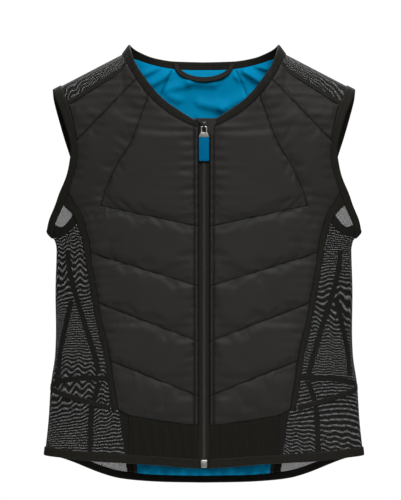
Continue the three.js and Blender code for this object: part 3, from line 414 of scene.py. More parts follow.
def swell(points, faces, stitched):
    """Lets the padding push the cloth out between its stitches, with a little cloth to spare."""
    scene = bpy.context.scene
    mesh = bpy.data.meshes.new("swelling")
    mesh.from_pydata((points * MM).tolist(), [], faces.tolist())
    cover = bpy.data.objects.new("swelling", mesh)
    scene.collection.objects.link(cover)
    cover.vertex_groups.new(name="stitched").add(np.flatnonzero(stitched).tolist(), 1.0, "REPLACE")
    cloth = cover.modifiers.new("cloth", "CLOTH")
    for name, value in SWELL_CLOTH.items():
        setattr(cloth.settings, name, value)
    cloth.settings.effector_weights.gravity = 0
    cloth.collision_settings.use_collision = False
    cloth.point_cache.frame_end = SWELL["frames"]
    for step in range(1, SWELL["frames"] + 1):
        scene.frame_set(step)
    shown = cover.evaluated_get(bpy.context.evaluated_depsgraph_get())
    moved = np.zeros(len(points) * 3, np.float32)
    shown.data.vertices.foreach_get("co", moved)
    bpy.data.objects.remove(cover)
    scene.frame_set(1)
    shift = moved.reshape(-1, 3) / MM - points
    length = np.linalg.norm(shift, axis=1, keepdims=True)
    return points + shift * np.minimum(1, SWELL["most"] / np.maximum(length, 1e-9))


def padding(distance):
    """How full the padding is, from 0 at a stitched line to 1 well away from it."""
    return np.sqrt(1 - (1 - np.minimum(distance, QUILT["reach"]) / QUILT["reach"]) ** 2)


def sway(place, high, long):
    """A slow wave that keeps a repeat from being even."""
    return high * np.sin(place / long)


def ripples(places, from_edge):
    """Low folds that the elastic edges draw into the cloth, fading away from them."""
    x, z = places.T
    wave = np.sin(z / RIPPLE["apart"] * 2 * np.pi + sway(x, *RIPPLE["sway_x"]) + sway(z, *RIPPLE["sway_z"]))
    return RIPPLE["high"] * np.exp(-from_edge / RIPPLE["fade"]) * wave


def quilt(name, grids, lines, edges, face, side, node):
    """A closed padded panel from its patches: swollen outside, flatter inside, sewn at its lines."""
    places, faces = weld(grids)
    on_half = np.abs(places) * [1, -1]
    from_edge = seam_distance(on_half, edges)
    distance = np.minimum(from_edge, seam_distance(on_half, lines))
    fill = padding(distance)
    base = on_form(places[:, 0] * side, places[:, 1], face)
    faces = face_out(base, faces)
    normals = outward(base)
    rise = (QUILT["out_rise"] + ripples(places, from_edge)) * fill
    cover = base + normals * (QUILT["stitched"] + rise)[:, None]
    cover = swell(cover, faces, distance < QUILT["held"])
    under = base - normals * (QUILT["stitched"] + QUILT["in_rise"] * fill)[:, None]
    # Painted shade: within 1.9 mm of each stitched line the cloth's colour is darkened towards near black.
    # It stands in for the shadow where the cloth dips to the stitching.
    made = piece(
        name, *closed(cover, under, faces), nylon, "quilted_nylon", [node], uv=np.tile(places, (2, 1)),
        painted_seam_shade=np.tile(np.minimum(1, distance / QUILT["painted_shade_reach"]), 2),
    )


def linear(code):
    """An sRGB colour such as 2e2c2c as linear red, green, blue and full alpha."""
    parts = [int(code[i:i + 2], 16) / 255 for i in (0, 2, 4)]
    return (*(c / 12.92 if c <= 0.04045 else ((c + 0.055) / 1.055) ** 2.4 for c in parts), 1)


def add(tree, kind, output=None, settings=(), links=()):
    """Adds a node with its settings and the links to its sockets, and gives one of its outputs."""
    made = tree.nodes.new("ShaderNode" + kind)
    for name, value in dict(settings).items():
        if isinstance(name, int) or name in made.inputs:
            made.inputs[name].default_value = value
        else:
            setattr(made, name, value)
    for name, source in dict(links).items():
        tree.links.new(source, made.inputs[name])
    return made.outputs[output] if output else made


def finish(recipe):
    """A material named for its recipe, which adds its nodes and gives the shader's settings and links."""
    material = bpy.data.materials.new(recipe.__name__)
    material.use_nodes = True
    tree = material.node_tree
    tree.nodes.clear()
    shader = add(tree, "BsdfPrincipled", "BSDF", *recipe(tree))
    add(tree, "OutputMaterial", links={"Surface": shader})
    return material


# A wave texture of scale 1 repeats at this distance, in metres.
WAVE = math.pi / 10


def plain_weave(tree, uv, spacing):
    """Threads that cross at a spacing in metres, as a height."""
    settings = {"Scale": WAVE / spacing}
    warp = add(tree, "TexWave", "Fac", {**settings, "bands_direction": "X"}, {"Vector": uv})
    weft = add(tree, "TexWave", "Fac", {**settings, "bands_direction": "Y"}, {"Vector": uv})
    return add(tree, "Math", "Value", {"operation": "MULTIPLY"}, {0: warp, 1: weft})


def woven_nylon(tree):
    """Matt woven nylon: soft mottling, faint threads, and painted shade where the cloth is drawn into the
    seams.
    """
    uv = add(tree, "UVMap", "UV", {"uv_map": "cloth"})
    mottle = add(tree, "TexNoise", "Fac", {"Scale": 1 / 0.045, "Detail": 3}, {"Vector": uv})
    cloth = add(tree, "MixRGB", "Color", {1: linear("1c1b1a"), 2: linear("222120")}, {0: mottle})
    # Painted shade: the 'padding' attribute mixes the cloth towards near-black 070706 at each stitched line.
    # It stands in for the shadow where the cloth dips to the stitching.
    seam = add(tree, "Attribute", "Fac", {"attribute_name": "padding"})
    sewn = add(tree, "MixRGB", "Color", {1: linear("070706")}, {0: seam, 2: cloth})
    # Threads are about 0.3 mm apart, drawn at 2.6 mm so that they show.
    weave = plain_weave(tree, uv, 0.002566)
    fine = add(tree, "Bump", "Normal", {"Strength": 0.15, "Distance": 0.0002}, {"Height": weave})
    noise = {"Scale": 1 / 0.012, "Detail": 4, "Distortion": 0.6}
    creases = add(tree, "TexNoise", "Fac", noise, {"Vector": uv})
    rough = {"Strength": 0.3, "Distance": 0.0008}
    bump = add(tree, "Bump", "Normal", rough, {"Height": creases, "Normal": fine})
    return {"Roughness": 0.55, "Specular IOR Level": 0.09}, {"Base Color": sewn, "Normal": bump}


nylon = finish(woven_nylon)
BACK_CHEVRONS = table(
    "mid_z side_z", (-180, -128), (-292, -238), (-388, -338), (-476, -430), (-563, -522),
)
BACK_STEPS = {"neck": 20, "shoulder": 22, "top": 24, "channel": 24}


def back_border(z):
    return np.where(z > BACK_TAPE["seam_z"][0], arm_seam_back(z), back_side(z))


def back_layout(steps):
    """Half of the back, from its middle to its side, as patches, stitched lines and edges."""
    columns = steps["neck"] + steps["shoulder"]
    shares = graded(steps["shoulder"], start=False)
    shoulder = under_ridge(shoulder_back_ends, shares, seam_drop(shares))
    seam = from_chart(neck_back_course["seam"](np.linspace(0, 1, 400)))
    seam = seam[seam[:, 0] < shoulder[0, 0]][::-1][:, [0, 2]]
    neck = run([*seam, shoulder[0]], steps["neck"])
    neck[0, 0] = 0
    top = np.concatenate([neck, shoulder[1:]])
    above = top
    grids, lines = [], []
    for mid_z, side_z in zip(*BACK_CHEVRONS.values()):
        line = run([(0, mid_z), (float(back_border(side_z)), side_z)], graded(columns, start=False))
        grids.append(channel(above, line, back_border, steps["channel"] if grids else steps["top"]))
        lines.append(line[[0, -1]])
        above = line
    foot_x = BACK_TAPE["seam_x"][-1] * graded(columns, start=False)
    foot = np.stack([foot_x, hem_seam_back(foot_x)], axis=-1)
    grids.append(channel(above, foot, back_border, steps["channel"]))
    side = upright(back_border, top[-1, 1], foot[-1, 1], np.linspace(0, 1, 41))
    return grids + [grid * [-1, 1] for grid in grids], lines, [top[::4], foot[::7], side]


back_grids, back_lines, back_edges = back_layout(BACK_STEPS)
quilt("quilted_back", back_grids, back_lines, back_edges, BACK, 1, "back_panel")

# Back lining: one layer of thin blue woven polyester behind the padding, sewn in with the panel's
# edges and loose between them, so that it lies in soft slanting wrinkles.
LINING = {
    "start": 0.5, "puff": 1, "seam": 2, "fade": 60, "tuck": 7, "tuck_z": -300, "gather": 4,
    "gather_apart": 21, "gather_fade": 40, "gather_sway": (1.8, 43),
}
WRINKLE = {
    "high": 3.5, "top_z": -70, "apart": 13, "middle_x": -12, "across": 0.75, "down": 0.66, "sharp": 1.5,
    "sway_z": (0.9, 47), "sway_x": (0.6, 39),
}
LINING_STEPS = {"neck": 60, "shoulder": 30, "top": 50, "channel": 14}
LINING_SEAM = np.array([(52.5, -40), (72.5, -83), (101, -153)])
LINING_FOLDS = table(
    "x z end_x end_z wide high",
    (-95, -45, -72, -34, 8, 4), (-84, -62, -60, -49, 9, 6), (-62, -71, -26, -63, 9, 4),
    (-24, -59, 16, -62, 10, 5), (52, -50, 60, -56, 6, 4), (66, -42, 90, -57, 8, 8),
    (86, -32, 102, -36, 6, 4), (-6, -94, 30, -102, 9, 5), (30, -102, 68, -84, 10, 5),
    (-58, -81, -42, -88, 8, 4),
)
FOLD_STEEP = 1.6


def woven_polyester_lining(tree):
    """Blue plain-woven polyester: an even colour with a soft sheen, fine threads, and a dark line along its
    seam that is partly thread and partly painted shade where the cloth dips to the seam.
    """
    uv = add(tree, "UVMap", "UV", {"uv_map": "cloth"})
    patch = add(tree, "TexNoise", "Fac", {"Scale": 1 / 0.06, "Detail": 2}, {"Vector": uv})
    blue = add(tree, "MixRGB", "Color", {1: linear("00658a"), 2: linear("006f96")}, {0: patch})
    # Painted shade with the thread: the 'padding' attribute mixes the blue towards dark blue 003a55 along
    # the seam. This stands for the thread and for the shadow where the cloth dips to it.
    seam = add(tree, "Attribute", "Fac", {"attribute_name": "padding"})
    sewn = add(tree, "MixRGB", "Color", {1: linear("003a55")}, {0: seam, 2: blue})
    # Threads are about 0.25 mm apart, drawn at 2.4 mm so that they show.
    weave = plain_weave(tree, uv, 0.0023686)
    bump = add(tree, "Bump", "Normal", {"Strength": 0.12, "Distance": 0.0002}, {"Height": weave})
    return {"Roughness": 0.5, "Specular IOR Level": 0.01}, {"Base Color": sewn, "Normal": bump}


def soft_folds(places, rows):
    """Folds along straight lines, steeper on their lower side: how far each place stands out."""
    stands = np.zeros(len(places))
    for x, z, end_x, end_z, wide, high in zip(*rows.values()):
        off = places - [x, z]
        line = np.array([end_x - x, end_z - z])
        share = np.clip(off @ line / (line @ line), 0, 1)
        away = np.linalg.norm(off - share[:, None] * line, axis=1)
        steep = np.where(line[0] * off[:, 1] < line[1] * off[:, 0], FOLD_STEEP, 1)
        stands += high * np.exp(-(away * steep / wide) ** 2)
    return stands


def slanting_wrinkles(x, z):
    """Wrinkles that slant down to the middle, below the neck."""
    slant = WRINKLE["across"] * np.abs(x - WRINKLE["middle_x"]) + WRINKLE["down"] * z
    turn = slant / WRINKLE["apart"] + sway(z, *WRINKLE["sway_z"]) + sway(x, *WRINKLE["sway_x"])
    below_neck = np.clip((WRINKLE["top_z"] - z) / LINING["fade"], 0, 1)
    return WRINKLE["high"] * below_neck * (1 - np.abs(np.sin(turn))) ** WRINKLE["sharp"]


def hem_gathers(x, z):
    near_hem = np.exp((hem_seam_back(np.abs(x)) - z) / LINING["gather_fade"])
    wave = np.sin(2 * np.pi * x / LINING["gather_apart"] + sway(x, *LINING["gather_sway"]))
    return LINING["gather"] * near_hem * (1 + wave)


def back_lining():
    grids, lines, edges = back_layout(LINING_STEPS)
    places, faces = weld(grids)
    tuck = LINING["tuck"] * np.clip((LINING["tuck_z"] - places[:, 1]) / LINING["fade"], 0, 1)
    places[:, 0] *= 1 - tuck / back_border(places[:, 1])
    on_half = np.abs(places) * [1, -1]
    from_seam = seam_distance(on_half, [LINING_SEAM])
    fill = padding(seam_distance(on_half, lines + edges))
    base = on_form(places[:, 0], places[:, 1], BACK)
    faces = face_out(base, faces)
    folds = slanting_wrinkles(*places.T) + soft_folds(places, LINING_FOLDS) + hem_gathers(*places.T)
    loose = np.minimum(fill, padding(2 * from_seam))
    depth = QUILT["stitched"] + QUILT["in_rise"] * fill + LINING["start"] + loose * (LINING["puff"] + folds)
    # Painted shade with the thread: the colour darkens within 2 mm of the lining's seam.
    made = piece(
        "blue_lining", base - outward(base) * depth[:, None], faces[:, ::-1], finish(woven_polyester_lining),
        "lining_weave", ["back_lining"], uv=places, painted_seam_shade=np.minimum(1, from_seam / LINING["seam"]),
    )


back_lining()

# Quilted fronts: the same nylon and padding in two halves. The chest line turns up to the neck, the
# arm line crosses to the armhole, chevrons cross below, and a placket seam runs beside the zip.
NECK_FRONT = with_ridge([
    (8, -123, 8, -134), (20, -119, 26, -127.5), (46, -102.5, 52, -113.5), (62, -91, 70, -99.5),
    (79, -74, 88, -82), (97, -50.5, 107.5, -56), (108.5, -32, 120, -35), (115, -15, 127, -21),
], **NECK_RIDGE, first=False)
NECK_LAST = len(NECK_FRONT["seam_x"]) - 1
NECK_CORNERS = {"chest": 4, "arm_line": 5}
FRONT_TAPE = table(
    "seam_x seam_z edge_x edge_z",
    (217, -238, 225.5, -257.5), (197.5, -269, 207.5, -277), (187.5, -301, 198, -304),
    (181, -334, 191.5, -335.5), (176, -368, 186, -369.5), (168.5, -412, 178.5, -413.5),
    (158.5, -462, 168.5, -464), (149, -507.5, 158.5, -509), (137, -585, 147, -586.5),
)
neck_front_course = course(NECK_FRONT)
front_tape_course = course(FRONT_TAPE)
arm_seam_front = seam_x_by_z(arm_course, FRONT)
panel_side = seam_x_by_z(front_tape_course, FRONT)
shoulder_front_ends = {
    "neck": seam_x_by_drop(neck_front_course, NECK_CORNERS["arm_line"] / NECK_LAST, 1),
    "arm": seam_x_by_drop(arm_course, 0, 3 / ARM_LAST),
}
ZIP_EDGE = 8
PLACKET = 15.6
UNDERARM_Z = -237
ARM_LINE_Z = -155
CHEST_ZIP_Z = -292.5
CHEST_CORNER = (164, -259)
CHEST_RISE = [CHEST_CORNER, (155, -229), (137, -190.5), (115, -154.5)]
FRONT_CHEVRONS = table("zip_z side_z", (-388, -334), (-476, -414), (-563, -506))
PANEL_FOOT = table("x z", (8, -609.5), (40, -606), (112, -595), (137, -585))
PLACKET_COLUMNS = np.array([8, 11.8, 14.6, 15.6, 16.6, 19])
FRONT_STEPS = {"chest": 42, "side": 16, "armhole": 22, "arm_line": 38, "shoulder": 16, "channel": 26}


def neck_run(start, end, steps):
    """The neck seam between two rows of its table."""
    shares = np.linspace(start, end, 300) / NECK_LAST
    return run(from_chart(neck_front_course["seam"](shares))[:, [0, 2]], steps)


def from_zip(line, steps):
    """Points along a line that starts at the zip, close together at the placket's stitching."""
    line = run(line, 2000)
    lead = PLACKET_COLUMNS
    first = np.stack([lead, np.interp(lead, line[:, 0], line[:, 1])], axis=-1)
    rest = [first[-1], *line[line[:, 0] > lead[-1]]]
    return np.concatenate([first[:-1], run(rest, graded(steps - len(lead) + 1, start=False))])


def front_layout(steps):
    """One front as patches, named stitched lines and edges."""
    shares = np.linspace(0, 1, steps["arm_line"] + 1)
    shoulder_line = under_ridge(shoulder_front_ends, shares, seam_drop(shares))
    neck = from_zip(neck_run(0, NECK_CORNERS["chest"], 600), steps["chest"])
    neck_side = neck_run(*NECK_CORNERS.values(), graded(steps["side"]))
    above_arm = neck_run(NECK_CORNERS["arm_line"], NECK_LAST, 600)
    above_arm = above_arm[above_arm[:, 1] < shoulder_line[0, 1]]
    neck_top = run([*above_arm, shoulder_line[0]], graded(steps["shoulder"]))
    underarm = (float(panel_side(UNDERARM_Z)), UNDERARM_Z)
    arm_end = (float(arm_seam_front(ARM_LINE_Z)), ARM_LINE_Z)

    chest_line = from_zip([(ZIP_EDGE, CHEST_ZIP_Z), CHEST_CORNER], steps["chest"])
    rise = graded(steps["armhole"] + steps["arm_line"], end=False)
    chest_rise = smooth_run([*CHEST_RISE, neck[-1]], rise)
    placket_up = run([chest_line[0], neck[0]], rise)
    corner = run([CHEST_CORNER, underarm], graded(steps["side"]))
    armhole = upright(arm_seam_front, UNDERARM_Z, ARM_LINE_Z, np.linspace(0, 1, steps["armhole"] + 1))
    armhole[0] = underarm
    arm_line = run([arm_end, neck_side[-1]], steps["arm_line"])
    arm_top = upright(arm_seam_front, ARM_LINE_Z, shoulder_line[-1, 1], graded(steps["shoulder"]))
    arm_top[-1] = shoulder_line[-1]
    grids = [
        coons(chest_line, neck, placket_up, chest_rise),
        coons(corner, neck_side, chest_rise, np.concatenate([armhole, arm_line[1:]])),
        coons(arm_line[::-1], shoulder_line, neck_top, arm_top),
    ]
    lines = [np.concatenate([chest_line[[0, -1]], chest_rise[4::4]]), arm_line[[0, -1]]]
    above = np.concatenate([chest_line, corner[1:]])
    for zip_z, side_z in zip(*FRONT_CHEVRONS.values()):
        line = from_zip([(ZIP_EDGE, zip_z), (float(panel_side(side_z)), side_z)], len(above) - 1)
        grids.append(channel(above, line, panel_side, steps["channel"]))
        lines.append(line[[0, -1]])
        above = line
    foot = from_zip(smooth_run(np.stack(list(PANEL_FOOT.values()), axis=-1), 200), len(above) - 1)
    grids.append(channel(above, foot, panel_side, steps["channel"] // 2))
    lines.append(np.array([(PLACKET, np.interp(PLACKET, *end.T)) for end in (neck, foot)]))
    edges = [
        neck[::3], neck_side[::4], neck_top[::4], shoulder_line[::6], arm_top[::4], armhole[::4],
        upright(panel_side, UNDERARM_Z, foot[-1, 1], np.linspace(0, 1, 37)), foot[::4],
        np.array([neck[0], foot[0]]),
    ]
    return grids, lines, edges


front_grids, front_lines, front_edges = front_layout(FRONT_STEPS)
for side_name, side in SIDES.items():
    quilt(
        f"quilted_front_{side_name}", front_grids, front_lines, front_edges, FRONT, side,
        f"front_panel_{side_name}",
    )

# Net: black knitted polyester mesh in six-sided holes, one layer thick, over each shoulder, round
# each side from the armhole to the waist, and from the waist to the hem. Tapes cover its edges.
NET = {"column": 1.3, "row": 3, "point": 0.06, "hole_wide": 0.24, "hole_high": 0.7, "slant": 6.6}
NET_STRETCH = {
    "rib": 0.28, "rib_long": 3.4, "rib_sway": (0.8, 33), "pull": 2.2, "pull_up": 31, "pull_round": 75,
}
NET_SAG = {"upright": 0.6, "long": 23, "sway": (1.3, 31), "slanting": 0.4, "round": 17, "up": 41}
TAPE_WIDTH = 9
HEM_FRONT = table(
    BORDER,
    (8, -678.5, 8, -664.5), (40, -676.5, 40, -662.5), (75, -673.5, 75, -660), (121, -670.5, 121, -657.5),
    (173, -668, 172, -655), (205, -665, 203, -652.5), (237, -661.5, 235, -649),
)
WAIST_FRONT = table("x z", (149.6, -581.5), (170, -577), (205, -567), (235, -557))
WAIST_FOLD = (90, -549)
WAIST_BACK = table("x z", (230, -540.5), (200, -536.5), (165, -536), (147.8, -536))
BAND_END = 120
SIDE_NET = {"arm": (6 / ARM_LAST, 13 / ARM_LAST), "back_top": -262, "back_foot": -534, "front_foot": -580}
HEM_NET = {"back_top": -538, "back_x": 119.0, "back_z": -688.0, "front_turn": 60, "back_turn": 140}
hem_course = course(HEM_FRONT, HEM_FOLD, HEM_BACK)
waist_line = spline(np.concatenate([
    chart(*WAIST_FRONT.values(), FRONT), [WAIST_FOLD], chart(*WAIST_BACK.values(), BACK),
]))
panel_foot = follow(PANEL_FOOT, "x", "z")


def knitted_polyester_net(tree):
    """Knitted polyester net: near-black yarn with a slight gloss."""
    uv = add(tree, "UVMap", "UV", {"uv_map": "cloth"})
    # Yarn is about 0.2 mm thick, drawn at 0.7 mm so that it shows.
    yarn = add(tree, "TexNoise", "Fac", {"Scale": 1 / 0.0007, "Detail": 1}, {"Vector": uv})
    black = add(tree, "MixRGB", "Color", {1: linear("0e0e0d"), 2: linear("191917")}, {0: yarn})
    bump = add(tree, "Bump", "Normal", {"Strength": 0.4, "Distance": 0.0003}, {"Height": yarn})
    return {"Roughness": 0.55, "Specular IOR Level": 0.07}, {"Base Color": black, "Normal": bump}


def inside(places, outline):
    """Which places lie inside a closed outline."""
    x, y = places.T
    found = np.zeros(len(places), bool)
    for (ax, ay), (bx, by) in zip(outline, np.roll(outline, -1, axis=0)):
        if ay != by:
            found ^= ((ay > y) != (by > y)) & (x < ax + (bx - ax) * (y - ay) / (by - ay))
    return found


def net_cells(outline, side):
    """Corners and faces of six-sided net cells that fill an outline on the flat cloth."""
    slant = math.radians(NET["slant"])
    turned = np.array([[math.cos(slant), -math.sin(slant)], [math.sin(slant), math.cos(slant)]])
    middle = outline.mean(axis=0)
    count = int(np.abs(outline - middle).max() * 1.5 / NET["column"]) + 2
    i, j = np.meshgrid(np.arange(-count, count + 1), np.arange(-count, count + 1))
    across = j.ravel() * NET["column"]
    up = (i + 0.5 * (j % 2)).ravel() * NET["row"]
    centres = np.stack([across, up], axis=-1) @ turned.T + middle
    centres = centres[inside(centres, outline)]
    wide, slim = 0.5 + NET["point"], 0.5 - NET["point"]
    corner = np.array([(wide, 0), (slim, 0.5), (-slim, 0.5), (-wide, 0), (-slim, -0.5), (slim, -0.5)])
    corner = corner * [NET["column"], NET["row"]]
    outer = (centres[:, None] + corner @ turned.T).reshape(-1, 2)
    first, place = same_points(outer, 0.05)
    place = place.reshape(-1, 6)
    holes = (centres[:, None] + (corner * [NET["hole_wide"], NET["hole_high"]]) @ turned.T).reshape(-1, 2)
    hole = np.arange(len(holes)).reshape(-1, 6) + len(first)
    after = np.roll(np.arange(6), -1)
    faces = np.stack([place, place[:, after], hole[:, after], hole], axis=-1).reshape(-1, 4)
    flat = np.concatenate([outer[first], holes])
    return stretched(flat, side), faces


def stretched(flat, side):
    """The knit drawn unevenly across, in fine ribs and in a slow pull that differs from side to side."""
    u, v = flat.T
    turn = u / NET_STRETCH["rib_long"] + side * sway(v, *NET_STRETCH["rib_sway"])
    ribs = NET_STRETCH["rib"] * np.sin(turn)
    pull = NET_STRETCH["pull"] * np.sin(v / NET_STRETCH["pull_up"] + side)
    return np.stack([u + (ribs + pull * np.cos(u / NET_STRETCH["pull_round"])), v], axis=-1)


def sagged(points, flat):
    """The net hangs in shallow waves."""
    u, v = flat.T
    upright_waves = NET_SAG["upright"] * np.sin(v / NET_SAG["long"] + sway(u, *NET_SAG["sway"]))
    slanting_waves = NET_SAG["slanting"] * np.sin(u / NET_SAG["round"] - v / NET_SAG["up"])
    return points + outward(points) * (upright_waves + slanting_waves)[:, None]


def between_rows(row, at, known, wanted):
    """A value looked up along two neighbouring rows of a grid and mixed between them."""
    low = row.astype(int)
    mix = row - low
    found = np.zeros(len(row))
    for k in np.unique(low):
        chosen = low == k
        below, above = (np.interp(at[chosen], known[i], wanted[i]) for i in (k, k + 1))
        found[chosen] = below * (1 - mix[chosen]) + above * mix[chosen]
    return found


class Unrolled:
    """The side of the form laid flat: distance round the body from the side fold, and height."""

    def __init__(self, low, high, step=4.0, turns=721):
        self.low = low
        self.step = step
        levels = np.arange(low, high + step, step)
        self.last = len(levels) - 1.001
        self.turn, z = np.meshgrid(np.linspace(0, 180, turns), levels)
        length = travelled(from_chart(np.stack([self.turn, z], axis=-1)), axis=1)
        self.length = length - length[:, [turns // 2]]

    def row(self, z):
        return np.clip((z - self.low) / self.step, 0, self.last)

    def flat(self, places):
        turn, z = places.T
        return np.stack([between_rows(self.row(z), turn, self.turn, self.length), z], axis=-1)

    def chart(self, flat):
        u, z = flat.T
        return np.stack([between_rows(self.row(z), u, self.length, self.turn), z], axis=-1)


def middle_line(lines, start=0, end=1):
    shares = np.linspace(start, end, 160)
    return (lines["edge"](shares) + lines["seam"](shares)) / 2


net = finish(knitted_polyester_net)
unrolled = Unrolled(-720, -230)
tape_front = middle_line(front_tape_course)
tape_back = middle_line(back_tape_course)
waist = waist_line(np.linspace(0, 1, 160))
beside_net = (tape_back[:, 1] < SIDE_NET["back_top"]) & (tape_back[:, 1] > SIDE_NET["back_foot"])
side_outline = unrolled.flat(np.concatenate([
    middle_line(arm_course, *SIDE_NET["arm"]), tape_back[beside_net],
    waist[::-1], tape_front[tape_front[:, 1] > SIDE_NET["front_foot"]][::-1],
]))
foot_x = np.linspace(BAND_END - 1, FRONT_TAPE["seam_x"][-1] - 1, 12)
hem_middle = middle_line(hem_course)
hem_turn = hem_middle[:, 0]
beyond_band = np.abs(from_chart(hem_middle)[:, 0]) > BAND_END - 1
at_side = (hem_turn > HEM_NET["front_turn"]) & (hem_turn < HEM_NET["back_turn"])
before_back = hem_turn < chart(HEM_NET["back_x"], HEM_NET["back_z"], BACK)[0]
hem_outline = unrolled.flat(np.concatenate([
    chart(foot_x, panel_foot(foot_x) + 1, FRONT), waist, tape_back[tape_back[:, 1] < HEM_NET["back_top"]],
    hem_middle[(beyond_band | at_side) & before_back][::-1],
]))
for side_name, side in SIDES.items():
    for part, outline in (("side", side_outline), ("hem", hem_outline)):
        flat, faces = net_cells(outline, side)
        points = sagged(from_chart(unrolled.chart(flat)), flat) * [side, 1, 1]
        made = piece(
            f"{part}_net_{side_name}", points, faces[:, ::side], net, "mesh_net",
            [f"{part}_mesh_{side_name}"], uv=flat,
        )

YOKE = {"rows": 41, "columns": 121, "spill": 0.05}


def yoke_net(side_name, side):
    """The net over one shoulder, laid flat by its distance from the shoulder line."""
    shares = np.linspace(-YOKE["spill"], 1 + YOKE["spill"], YOKE["rows"])
    share, over = np.meshgrid(shares, np.linspace(-1, 1, YOKE["columns"]), indexing="ij")
    drop = (seam_drop(share) - TAPE_WIDTH / 2) * over ** 2
    front, back = (under_ridge(ends, share, drop) for ends in (shoulder_front_ends, shoulder_back_ends))
    places = np.where((over < 0)[..., None], front, back)
    points = on_form(places[..., 0], places[..., 1], np.where(over < 0, FRONT, BACK))
    middle = YOKE["columns"] // 2
    length = travelled(points, axis=1)
    length -= length[:, [middle]]
    span = np.linalg.norm(points[-1, middle] - points[0, middle])
    u = (shares - shares[0]) / (shares[-1] - shares[0]) * span
    outline = np.concatenate([
        np.stack([u, length[:, 0]], axis=-1), np.stack([u, length[:, -1]], axis=-1)[::-1],
    ])
    flat, faces = net_cells(outline, side)
    row = np.clip(flat[:, 0] / span, 0, 0.9999) * (YOKE["rows"] - 1)
    columns = np.broadcast_to(np.arange(YOKE["columns"]), length.shape)
    column = between_rows(row, flat[:, 1], length, columns)
    low = row.astype(int)
    left = np.minimum(column.astype(int), YOKE["columns"] - 2)
    m = (row - low)[:, None]
    t = (column - left)[:, None]
    below, above = (points[k, left] * (1 - t) + points[k, left + 1] * t for k in (low, low + 1))
    placed = (below * (1 - m) + above * m) * [side, 1, 1]
    made = piece(
        f"yoke_net_{side_name}", placed, faces[:, ::side], net, "mesh_net",
        [f"yoke_mesh_{side_name}"], uv=flat,
    )


for side_name, side in SIDES.items():
    yoke_net(side_name, side)

# Hem band: dark stretch jersey, doubled, across the front between the quilting and the hem binding.
# It is drawn in a little, so that it lies in low upright gathers.
JERSEY = {
    "half": 0.9, "gather": 0.7, "puff": 0.7, "inside": 0.5, "wave": 15, "sway": 1.5, "sway_long": 37,
    "lean": 2, "columns": 90, "rows": 40,
}


def stretch_jersey(tree):
    """Fine-ribbed polyester jersey: very dark and dull, with upright wales."""
    uv = add(tree, "UVMap", "UV", {"uv_map": "cloth"})
    # Wales are about 0.6 mm apart, drawn at 3.6 mm so that they show.
    wales = add(tree, "TexWave", "Fac", {"Scale": WAVE / 0.003553, "Distortion": 0.6}, {"Vector": uv})
    fluff = add(tree, "TexNoise", "Fac", {"Scale": 1 / 0.005, "Detail": 3}, {"Vector": uv})
    knit = add(tree, "Math", "Value", {"operation": "MULTIPLY"}, {0: wales, 1: fluff})
    dark = add(tree, "MixRGB", "Color", {1: linear("0e0d0a"), 2: linear("201f1a")}, {0: knit})
    bump = add(tree, "Bump", "Normal", {"Strength": 0.3, "Distance": 0.0004}, {"Height": wales})
    return {"Roughness": 0.8, "Specular IOR Level": 0.04}, {"Base Color": dark, "Normal": bump}


jersey = finish(stretch_jersey)
hem_seam_front = follow(HEM_FRONT, "seam_x", "seam_z")


def closed_sheet(outer, inner):
    """Two grids of points, outside and inside, as one closed wall: its points and faces."""
    points = outer.reshape(-1, 3)
    faces = face_out(points, quads(np.arange(len(points)).reshape(outer.shape[:2])))
    return closed(points, inner.reshape(-1, 3), faces)


for side_name, side in SIDES.items():
    x = np.linspace(ZIP_EDGE, BAND_END + 1, JERSEY["columns"])
    share = np.linspace(0, 1, JERSEY["rows"])[:, None]
    z = hem_seam_front(x) * (1 - share) + panel_foot(x) * share
    across = np.broadcast_to(x, z.shape)
    base = on_form(across * side, z, FRONT)
    normal = outward(base)
    loose = np.sin(np.pi * share) ** 0.5
    uneven = JERSEY["sway"] * np.sin(across / JERSEY["sway_long"] + JERSEY["lean"] * share)
    gather = np.sin(across / JERSEY["wave"] * 2 * np.pi + uneven)
    lift = JERSEY["gather"] * loose * gather + JERSEY["puff"] * loose
    outer = base + normal * (JERSEY["half"] + lift)[..., None]
    inner = base - normal * (JERSEY["half"] - JERSEY["inside"] * lift)[..., None]
    flat = np.stack([across, z], axis=-1).reshape(-1, 2)
    made = piece(
        f"jersey_band_{side_name}", *closed_sheet(outer, inner), jersey, "stretch_jersey",
        [f"hem_band_{side_name}"], uv=np.tile(flat, (2, 1)),
    )

# Seam tapes: flat black elastic tape, about 10 mm wide, sewn down both edges over every join between
# quilted cloth and net, between side net and hem net, and over the seams of the net at the back.
TAPE = {"half": 1.45, "round": 1.4, "step": 3, "across": 8, "sewn": (0.25, 0.75)}
LAID = {"half": 0.5, "round": 0.8, "lift": 1.7}


def ribbed_elastic(tree):
    """Woven elastic tape: black, dull, with fine cords along its length."""
    uv = add(tree, "UVMap", "UV", {"uv_map": "cloth"})
    wear = add(tree, "TexNoise", "Fac", {"Scale": 1 / 0.006, "Detail": 4}, {"Vector": uv})
    black = add(tree, "MixRGB", "Color", {1: linear("0b0a08"), 2: linear("1d1c18")}, {0: wear})
    # Cords are about 0.8 mm apart, drawn at 3 mm so that they show.
    cords = add(tree, "TexWave", "Fac", {"Scale": WAVE / 0.0029608}, {"Vector": uv})
    bump = add(tree, "Bump", "Normal", {"Strength": 0.35, "Distance": 0.0004}, {"Height": cords})
    return {"Roughness": 0.6, "Specular IOR Level": 0.06}, {"Base Color": black, "Normal": bump}


elastic = finish(ribbed_elastic)


def close_at_edges(count):
    """Shares from 0 to 1 across a strip, close together at both edges."""
    return (1 - np.cos(np.linspace(0, np.pi, count + 1))) / 2


def cross(left, right, count):
    """Charted places across a strip from its left line to its right line."""
    share = close_at_edges(count)[:, None]
    return left[:, None] * (1 - share) + right[:, None] * share


